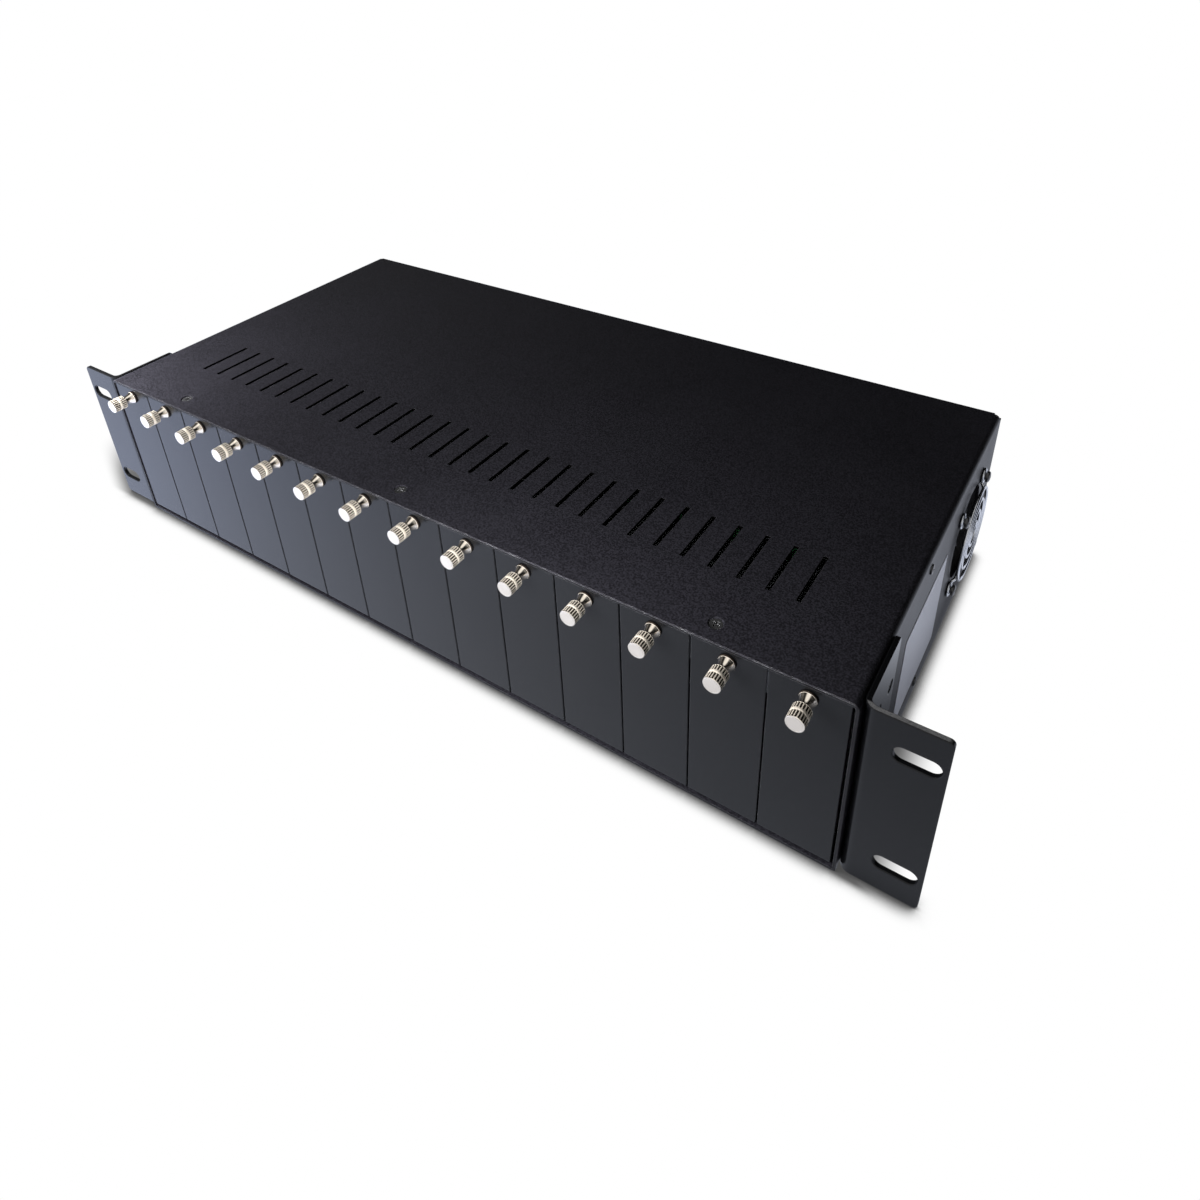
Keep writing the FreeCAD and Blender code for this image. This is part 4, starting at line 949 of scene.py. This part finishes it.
@dataclass
class CrossScrews:
    """Small cross-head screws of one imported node, each set where its solid is."""

    shop: Workshop
    node: str
    facings: tuple[Facing, ...]
    sunk: bool = False
    head: float = 2.775 * MM
    rise: float = 1.875 * MM
    sink: float = 0.0
    shank: float = 1.5 * MM
    tip: float = 0.3 * MM
    land: float = 0.15 * MM
    chamfer: float = 0.12 * MM
    cheek: float = 0.5
    crown: float = 0.32
    dome: float = 78.0
    dome_steps: int = 5
    hub: float = 0.3
    arm: float = 1.55 * MM
    slit: float = 0.42 * MM
    depth: float = 1.05 * MM
    taper: float = 0.72
    slope: float = 0.35
    upward: float = 0.5
    nut: float = 0.0
    nut_length: float = 2.4 * MM
    steps: int = 48
    seed: int = 5

    def profile(self, length: float) -> list[Point]:
        """Draws the half section, with the head's top at height 0.

        Args:
            length: The whole length of the screw.

        Returns:
            (radius, height) points from the shank's end to the middle of the head.
        """
        points = [(0.0, -length), (self.shank - self.tip, -length), (self.shank, self.tip - length)]
        if self.sunk:
            points += [(self.shank, self.shank - self.head), (self.head, -self.land)]
            points.append((self.head - self.chamfer, 0.0))
        else:
            cheek = -self.rise * self.cheek
            points += [(self.shank, -self.rise), (self.head, -self.rise), (self.head, cheek)]
            for step in range(1, self.dome_steps + 1):
                angle = step / self.dome_steps * math.radians(self.dome)
                share = self.crown + (1.0 - self.crown) * math.cos(angle)
                points.append((self.head * share, cheek * (1 - math.sin(angle))))
        points += [(self.head * self.hub, 0.0), (0.0, 0.0)]
        return points

    def recess(self, shape: Mesh) -> None:
        """Sinks a tapered cross into the head.

        Args:
            shape: The spun screw, head up at height 0.
        """
        for axis in (Vector((1, 0, 0)), Vector((0, 1, 0))):
            for offset in (-self.arm, -self.slit, self.slit, self.arm):
                geometry = shape.verts[:] + shape.edges[:] + shape.faces[:]
                bmesh.ops.bisect_plane(shape, geom=geometry, plane_co=axis * offset, plane_no=axis)
        floor = []
        for face in shape.faces:
            spot = face.calc_center_median()
            near, far = sorted((abs(spot.x), abs(spot.y)))
            if near < self.slit and far < self.arm and face.normal.z > self.upward:
                floor.append(face)
        made = bmesh.ops.extrude_face_region(shape, geom=floor)
        verts = [item for item in made["geom"] if isinstance(item, bmesh.types.BMVert)]
        bmesh.ops.delete(shape, geom=floor, context="FACES")
        for vert in verts:
            reach = max(abs(vert.co.x), abs(vert.co.y)) / self.arm
            vert.co.x *= self.taper
            vert.co.y *= self.taper
            vert.co.z = -self.depth * (1.0 - self.slope * reach)

    def add_nut(self, shape: Mesh, length: float) -> None:
        """Adds the nut at the far end of a screw of this length."""
        middle = Matrix.Translation((0, 0, self.nut_length / 2 - length))
        bmesh.ops.create_cone(shape, cap_ends=True, segments=6, radius1=self.nut, radius2=self.nut,
                              depth=self.nut_length, matrix=middle)

    def build(self) -> None:
        """Builds the screws of the node as one piece."""
        turns = random.Random(self.seed)
        group = bmesh.new()
        for index, (low, high) in enumerate(islands(self.node)):
            facing = self.facings[index % len(self.facings)]
            way = Vector(facing.value)
            middle = (low + high) / 2
            half = abs((high - low).dot(way)) / 2
            length = 2 * half - self.sink
            shape = spun(self.profile(length), self.steps)
            self.recess(shape)
            if self.nut:
                self.add_nut(shape, length)
            spin = Matrix.Rotation(turns.uniform(0.0, math.pi / 2), 4, "Z")
            place = Matrix.Translation(middle + way * (half - self.sink))
            bmesh.ops.transform(shape, matrix=place @ facing.turn() @ spin, verts=shape.verts)
            add_mesh(group, shape)
        screws = self.shop.piece(group, f"cross_{self.node}", Slot.SCREW, "chassis")
        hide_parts(self.node)


@dataclass
class FanGuard:
    """The wire guard over the side fan: rings welded on two bars that fold down into eyes."""

    shop: Workshop
    wire: float = 0.75 * MM
    stand: float = 3.4 * MM
    rings: tuple[float, ...] = (6.0 * MM, 11.6 * MM, 17.2 * MM, 22.8 * MM)
    ring_steps: int = 96
    spacing: float = 40.0 * MM
    eye: float = 3.2 * MM
    eye_steps: int = 40
    lap: float = 1.6
    bend: float = 2.0 * MM
    bend_steps: int = 6
    around: int = 12

    def section(self, shape: Mesh, place: Matrix) -> list[Any]:
        """Starts a wire with its round section.

        Args:
            shape: The mesh to add to.
            place: Where the section goes; the wire runs along its Z.

        Returns:
            The section's vertices and edges.
        """
        made = bmesh.ops.create_circle(shape, cap_ends=False, segments=self.around, radius=self.wire,
                                       matrix=place)
        verts = made["verts"]
        return verts + list({edge for vert in verts for edge in vert.link_edges})

    def ring(self, shape: Mesh, centre: Vector, radius: float, steps: int) -> None:
        """Adds a closed ring in a plane across X; the radius is that of its middle line."""
        start = Matrix.Translation(centre + Vector((0, radius, 0)))
        bmesh.ops.spin(shape, geom=self.section(shape, start), cent=centre, axis=(1, 0, 0),
                       angle=2 * math.pi, steps=steps, use_merge=True)

    def edges_of(self, loop: list[Any]) -> list[bmesh.types.BMEdge]:
        """Gives the edges of an open end."""
        return [item for item in loop if isinstance(item, bmesh.types.BMEdge)]

    def bar(self, shape: Mesh, front: float, foot: float, reach: float) -> None:
        """Adds one bar, from eye to eye, along Z.

        Args:
            shape: The mesh to add to.
            front: The X of its raised run.
            foot: The X of its ends.
            reach: Half its length.
        """
        shoulder = self.rings[-1]
        slope = math.atan2(front - foot, reach - shoulder)
        tangent = self.bend * math.tan(slope / 2)
        run = math.hypot(front - foot, reach - shoulder) - tangent
        first = Matrix.Translation((foot, 0, -reach)) @ Matrix.Rotation(slope, 4, "Y")
        loop = self.section(shape, first)
        bmesh.ops.contextual_create(shape, geom=self.edges_of(loop))
        loop = self.pull(shape, loop, Vector((math.sin(slope), 0, math.cos(slope))) * run)
        turn = Vector((front - self.bend, 0, tangent - shoulder))
        loop = self.curl(shape, loop, turn, -slope)
        loop = self.pull(shape, loop, Vector((0, 0, 2 * (shoulder - tangent))))
        turn = Vector((front - self.bend, 0, shoulder - tangent))
        loop = self.curl(shape, loop, turn, -slope)
        loop = self.pull(shape, loop, Vector((-math.sin(slope), 0, math.cos(slope))) * run)
        bmesh.ops.contextual_create(shape, geom=self.edges_of(loop))

    def pull(self, shape: Mesh, loop: list[Any], way: Vector) -> list[Any]:
        """Draws the wire straight on.

        Args:
            shape: The mesh.
            loop: The open end.
            way: How far and where to.

        Returns:
            The new open end.
        """
        made = bmesh.ops.extrude_edge_only(shape, edges=self.edges_of(loop))["geom"]
        verts = [item for item in made if isinstance(item, bmesh.types.BMVert)]
        bmesh.ops.translate(shape, verts=verts, vec=way)
        ends = set(verts)
        return verts + [edge for edge in self.edges_of(made) if set(edge.verts) <= ends]

    def curl(self, shape: Mesh, loop: list[Any], centre: Vector, angle: float) -> list[Any]:
        """Bends the wire on round a point, about Y, and gives the new open end."""
        made = bmesh.ops.spin(shape, geom=loop, cent=centre, axis=(0, 1, 0), angle=angle,
                              steps=self.bend_steps, use_duplicate=False)
        return list(made["geom_last"])

    def build(self) -> None:
        """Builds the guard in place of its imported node."""
        low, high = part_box("fan_guard")
        middle = (low + high) / 2
        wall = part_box("top_cover")[1].x
        front = wall + self.stand
        foot = wall + self.wire
        reach = self.spacing / math.sqrt(2) - self.eye - self.wire / 2
        shape = bmesh.new()
        for angle in (45.0, 135.0):
            bar = bmesh.new()
            self.bar(bar, front - self.lap * self.wire, foot, reach)
            bmesh.ops.rotate(bar, verts=bar.verts, cent=(0, 0, 0),
                             matrix=Matrix.Rotation(math.radians(angle), 3, "X"))
            add_mesh(shape, bar)
        for radius in self.rings:
            self.ring(shape, Vector((front, 0, 0)), radius, self.ring_steps)
        half = self.spacing / 2
        for across, up in ((-half, -half), (-half, half), (half, -half), (half, half)):
            self.ring(shape, Vector((foot, across, up)), self.eye, self.eye_steps)
        bmesh.ops.translate(shape, verts=shape.verts, vec=(0, middle.y, middle.z))
        guard = self.shop.piece(shape, "wire_guard", Slot.ZINC, "chassis")
        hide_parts("fan_guard")


@dataclass(frozen=True)
class Lamp:
    """A small soft lamp."""

    place: Triple
    size: float
    power: float


@dataclass(frozen=True)
class PaintedEarShadow:
    """A shadow painted on the floor behind one ear, along a line from the ear's outer edge to its shadow's
    tip.

    The foot and the tip are X values. The shade starts and is full at distances measured outwards from the
    line, and it leaves a share of the light.
    """

    foot: float
    tip: float
    start: float
    full: float
    left: float
    end: float = -21.3 * MM
    width: float = 12.0 * MM
    fade: float = 12.0 * MM
    lead: float = 4.0 * MM
    reach: Span = (75.0 * MM, 12.0 * MM)
    case: Span = (200.0 * MM, 212.0 * MM)

    def share(self, shader: Shader) -> Number:
        """Paints shade on the floor where the ear would keep a light near the camera off it.

        Args:
            shader: The floor's shader.

        Returns:
            The share of the floor's brightness that the painted shade takes away.
        """
        across, along = shader.at("X"), shader.at("Y")
        side = math.copysign(1.0, self.foot)
        run = Vector((self.tip - self.foot, self.end - FRONT_EDGE)).normalized()
        out = Vector((run.y, -run.x)) * side
        offset = (across - self.foot) * out.x + (along - FRONT_EDGE) * out.y
        inner = self.full - self.width
        band = offset.rise(self.start, self.full) * offset.rise(inner - self.fade, inner)
        behind = along.rise(self.end, self.end - self.fade) * along.rise(FRONT_EDGE - self.lead, FRONT_EDGE)
        near = ((across - self.foot) * side).rise(*self.reach)
        case_start, case_end = self.case
        outside = across.rise(side * case_start, side * case_end)
        return band * behind * near * outside * (1.0 - self.left)


@dataclass
class Studio:
    """The floor, the light round it and the camera."""

    place: Triple = (0.25651, -0.30328, 0.32334)
    heading: float = 34.014
    tilt: float = 61.039
    roll: float = -2.026
    lens: float = 26.646
    sensor: float = 36.0
    shift: Span = (-0.0044, -0.1934)
    nearest: float = 0.01
    floor: float = 12.0
    floor_colour: Colour = (0.85, 0.85, 0.86)
    # The tint of the painted light that reflections show on the floor
    left_tint: Colour = (0.86, 0.96, 1.26)
    right_tint: Colour = (0.93, 0.98, 1.12)
    tint_span: Span = (-0.3, 0.1)
    # Painted contact shadow on the floor, from ambient occlusion
    contact: float = 9.0 * MM
    contact_span: Span = (0.48, 0.97)
    contact_looks: int = 16
    darkest: float = 0.07
    # Shadows painted on the floor behind the ears
    painted_ear_shadows: tuple[PaintedEarShadow, ...] = (
        PaintedEarShadow(foot=-241.3 * MM, tip=-428.0 * MM, start=8.0 * MM, full=-4.0 * MM, left=0.17),
        PaintedEarShadow(foot=241.3 * MM, tip=235.6 * MM, start=-4.0 * MM, full=-22.0 * MM, left=0.12),
    )
    # A painted pool of light on the floor, brighter to the left, seen only in reflections
    pool: float = 0.72
    pool_gain: float = 1.15
    pool_span: Span = (0.25, -0.33)
    # A painted shadow beside the case's right wall, seen only in reflections
    wall_span: Span = (0.205, 0.222)
    wall_front: Span = (-0.105, -0.085)
    wall_end: Span = (0.5, 0.25)
    dim: float = 0.08
    dim_gain: float = 1.1
    dim_span: Span = (0.217, 0.234)
    front_dim: float = 0.12
    front_span: Span = (-0.03, 0.045)
    gloss: float = 0.01
    left_gloss: float = 0.2
    front_gloss: float = 0.9
    ambient: float = 0.03
    low_light: float = 0.35
    side_light: float = 0.6
    rear_light: float = 0.7
    lamps: tuple[Lamp, ...] = (
        Lamp(place=(-0.239, -0.146, 0.155), size=0.045, power=5.1),
        Lamp(place=(0.078, -0.236, 0.150), size=0.06, power=5.9),
    )

    def set_camera(self) -> None:
        """Puts the camera at the photograph's viewpoint."""
        lens = bpy.data.cameras.new("camera")
        lens.sensor_width = self.sensor
        lens.lens = self.lens
        lens.shift_x, lens.shift_y = self.shift
        lens.clip_start = self.nearest
        camera = bpy.data.objects.new("camera", lens)
        bpy.context.scene.collection.objects.link(camera)
        camera.matrix_world = (
            Matrix.Translation(self.place)
            @ Matrix.Rotation(math.radians(self.heading), 4, "Z")
            @ Matrix.Rotation(math.radians(self.tilt), 4, "X")
            @ Matrix.Rotation(math.radians(self.roll), 4, "Z")
        )
        bpy.context.scene.camera = camera

    def floor_shade(self, shader: Shader) -> Number:
        """Gives the floor as the camera sees it: white, with a painted contact shadow where the part stands
        and painted shadows behind its ears.

        Args:
            shader: The floor's shader.

        Returns:
            The brightness.
        """
        settings = {"samples": self.contact_looks}
        near = shader.node("ShaderNodeAmbientOcclusion", settings, {"Distance": self.contact})
        clear = Number(shader, near.outputs["AO"]).rise(*self.contact_span)
        gloom = 1.0 - (self.darkest + clear * (1.0 - self.darkest))
        for ear in self.painted_ear_shadows:
            gloom = gloom.highest(ear.share(shader))
        return 1.0 - gloom

    def floor_glow(self, shader: Shader) -> Number:
        """Gives the floor as reflections show it: a painted pool of light brighter to the left, and a
        painted shadow beside the case's right wall.

        Args:
            shader: The floor's shader.

        Returns:
            The brightness.
        """
        across, along = shader.at("X"), shader.at("Y")
        pool = self.pool + across.rise(*self.pool_span) * self.pool_gain
        beside = across.rise(*self.wall_span) * along.rise(*self.wall_front) * across.rise(*self.wall_end)
        outwards = self.dim + across.rise(*self.dim_span) * self.dim_gain
        rearwards = self.front_dim + along.rise(*self.front_span) * (1.0 - self.front_dim)
        return pool * (1.0 - beside) + outwards * rearwards * beside

    def set_floor(self) -> None:
        """Lays a pale floor that is white to the camera but for painted shadows, and shows painted light
        and shadow in reflections.
        """
        shape = bmesh.new()
        bmesh.ops.create_grid(shape, x_segments=1, y_segments=1, size=self.floor / 2)
        mesh = bpy.data.meshes.new("floor")
        shape.to_mesh(mesh)
        shape.free()
        floor = bpy.data.objects.new("floor", mesh)
        bpy.context.scene.collection.objects.link(floor)
        material, shader = new_material("pale_floor")
        camera, shiny = shader.rays()
        strength = camera * self.floor_shade(shader) + (1.0 - camera) * self.floor_glow(shader)
        tint = shader.mix(shader.at("X").rise(*self.tint_span), self.left_tint, self.right_tint)
        colour = shader.mix(camera, tint, WHITE)
        white = shader.node("ShaderNodeEmission", {}, {"Color": colour, "Strength": strength})
        pale = shader.node("ShaderNodeBsdfDiffuse", {}, {"Color": self.floor_colour})
        parts = {0: camera.highest(shiny), 1: pale.outputs[0], 2: white.outputs[0]}
        surface = shader.node("ShaderNodeMixShader", {}, parts)
        shader.node("ShaderNodeOutputMaterial", {}, {"Surface": surface.outputs[0]})
        mesh.materials.append(material)

    def set_world(self) -> None:
        """Surrounds the set: white to the camera, bright overhead and in front to gloss, soft otherwise."""
        world = bpy.data.worlds.new("studio")
        world.use_nodes = True
        bpy.context.scene.world = world
        shader = Shader(world.node_tree)
        way = shader.node("ShaderNodeTexCoord", {}, {}).outputs["Generated"]
        across, along, up = (shader.part(way, axis) for axis in "XYZ")
        left = across.rise(-0.3, -0.8) * up.rise(0.7, 0.3)
        front = along.rise(-0.1, -0.5)
        overhead = up.rise(0.85, 0.97)
        gloss = self.gloss + left * self.left_gloss + overhead + front * self.front_gloss
        sides = across.rise(0.4, 0.9) + across.rise(-0.4, -0.9)
        rear = along.rise(0.2, 0.8)
        low = up.rise(0.5, 0.1)
        soft = self.ambient + low * (self.low_light + sides * self.side_light + rear * self.rear_light)
        camera, shiny = shader.rays()
        strength = camera + (1.0 - camera) * (shiny * gloss + (1.0 - shiny) * soft)
        light = shader.node("ShaderNodeBackground", {}, {"Color": WHITE, "Strength": strength})
        shader.node("ShaderNodeOutputWorld", {}, {"Surface": light.outputs[0]})

    def set_lamps(self) -> None:
        """Hangs two soft lamps over the front, which reflections don't show."""
        for number, lamp in enumerate(self.lamps, start=1):
            light = bpy.data.lights.new(f"lamp_{number}", "POINT")
            light.shadow_soft_size = lamp.size
            light.energy = lamp.power
            held = bpy.data.objects.new(f"lamp_{number}", light)
            held.location = lamp.place
            held.visible_camera = False
            held.visible_glossy = False
            bpy.context.scene.collection.objects.link(held)

    def build(self) -> None:
        """Sets up the whole studio."""
        bpy.context.scene.view_settings.view_transform = "Standard"
        self.set_camera()
        self.set_floor()
        self.set_world()
        self.set_lamps()


def main() -> None:
    """Builds every sub-assembly in order."""
    logging.basicConfig(level=logging.INFO, format="%(name)s: %(message)s")
    shop = Workshop()
    shop.dress_nodes()
    sides = (Facing.LEFT,) * 2 + (Facing.RIGHT,) * 2
    ears = (Facing.LEFT,) * 4 + (Facing.RIGHT,) * 4
    assemblies = [
        ThumbScrews(shop),
        CrossScrews(shop, "top_screws", (Facing.UP,), sunk=True, head=SUNK_HEAD),
        CrossScrews(shop, "side_screws", sides, head=2.2 * MM, rise=0.9 * MM, sink=0.975 * MM,
                    arm=1.3 * MM, slit=0.36 * MM, depth=0.7 * MM, seed=7),
        CrossScrews(shop, "ear_screws", ears, sunk=True, head=SUNK_HEAD, seed=11),
        CrossScrews(shop, "lip_screws", (Facing.REAR,), seed=13),
        CrossScrews(shop, "inlet_screws", (Facing.REAR,), sunk=True, head=SUNK_HEAD, seed=17),
        CrossScrews(shop, "fan_screws", (Facing.RIGHT,), nut=2.5 * MM, seed=19),
        FanGuard(shop),
        Studio(),
    ]
    for assembly in assemblies:
        assembly.build()


if __name__ == "__main__":
    main()
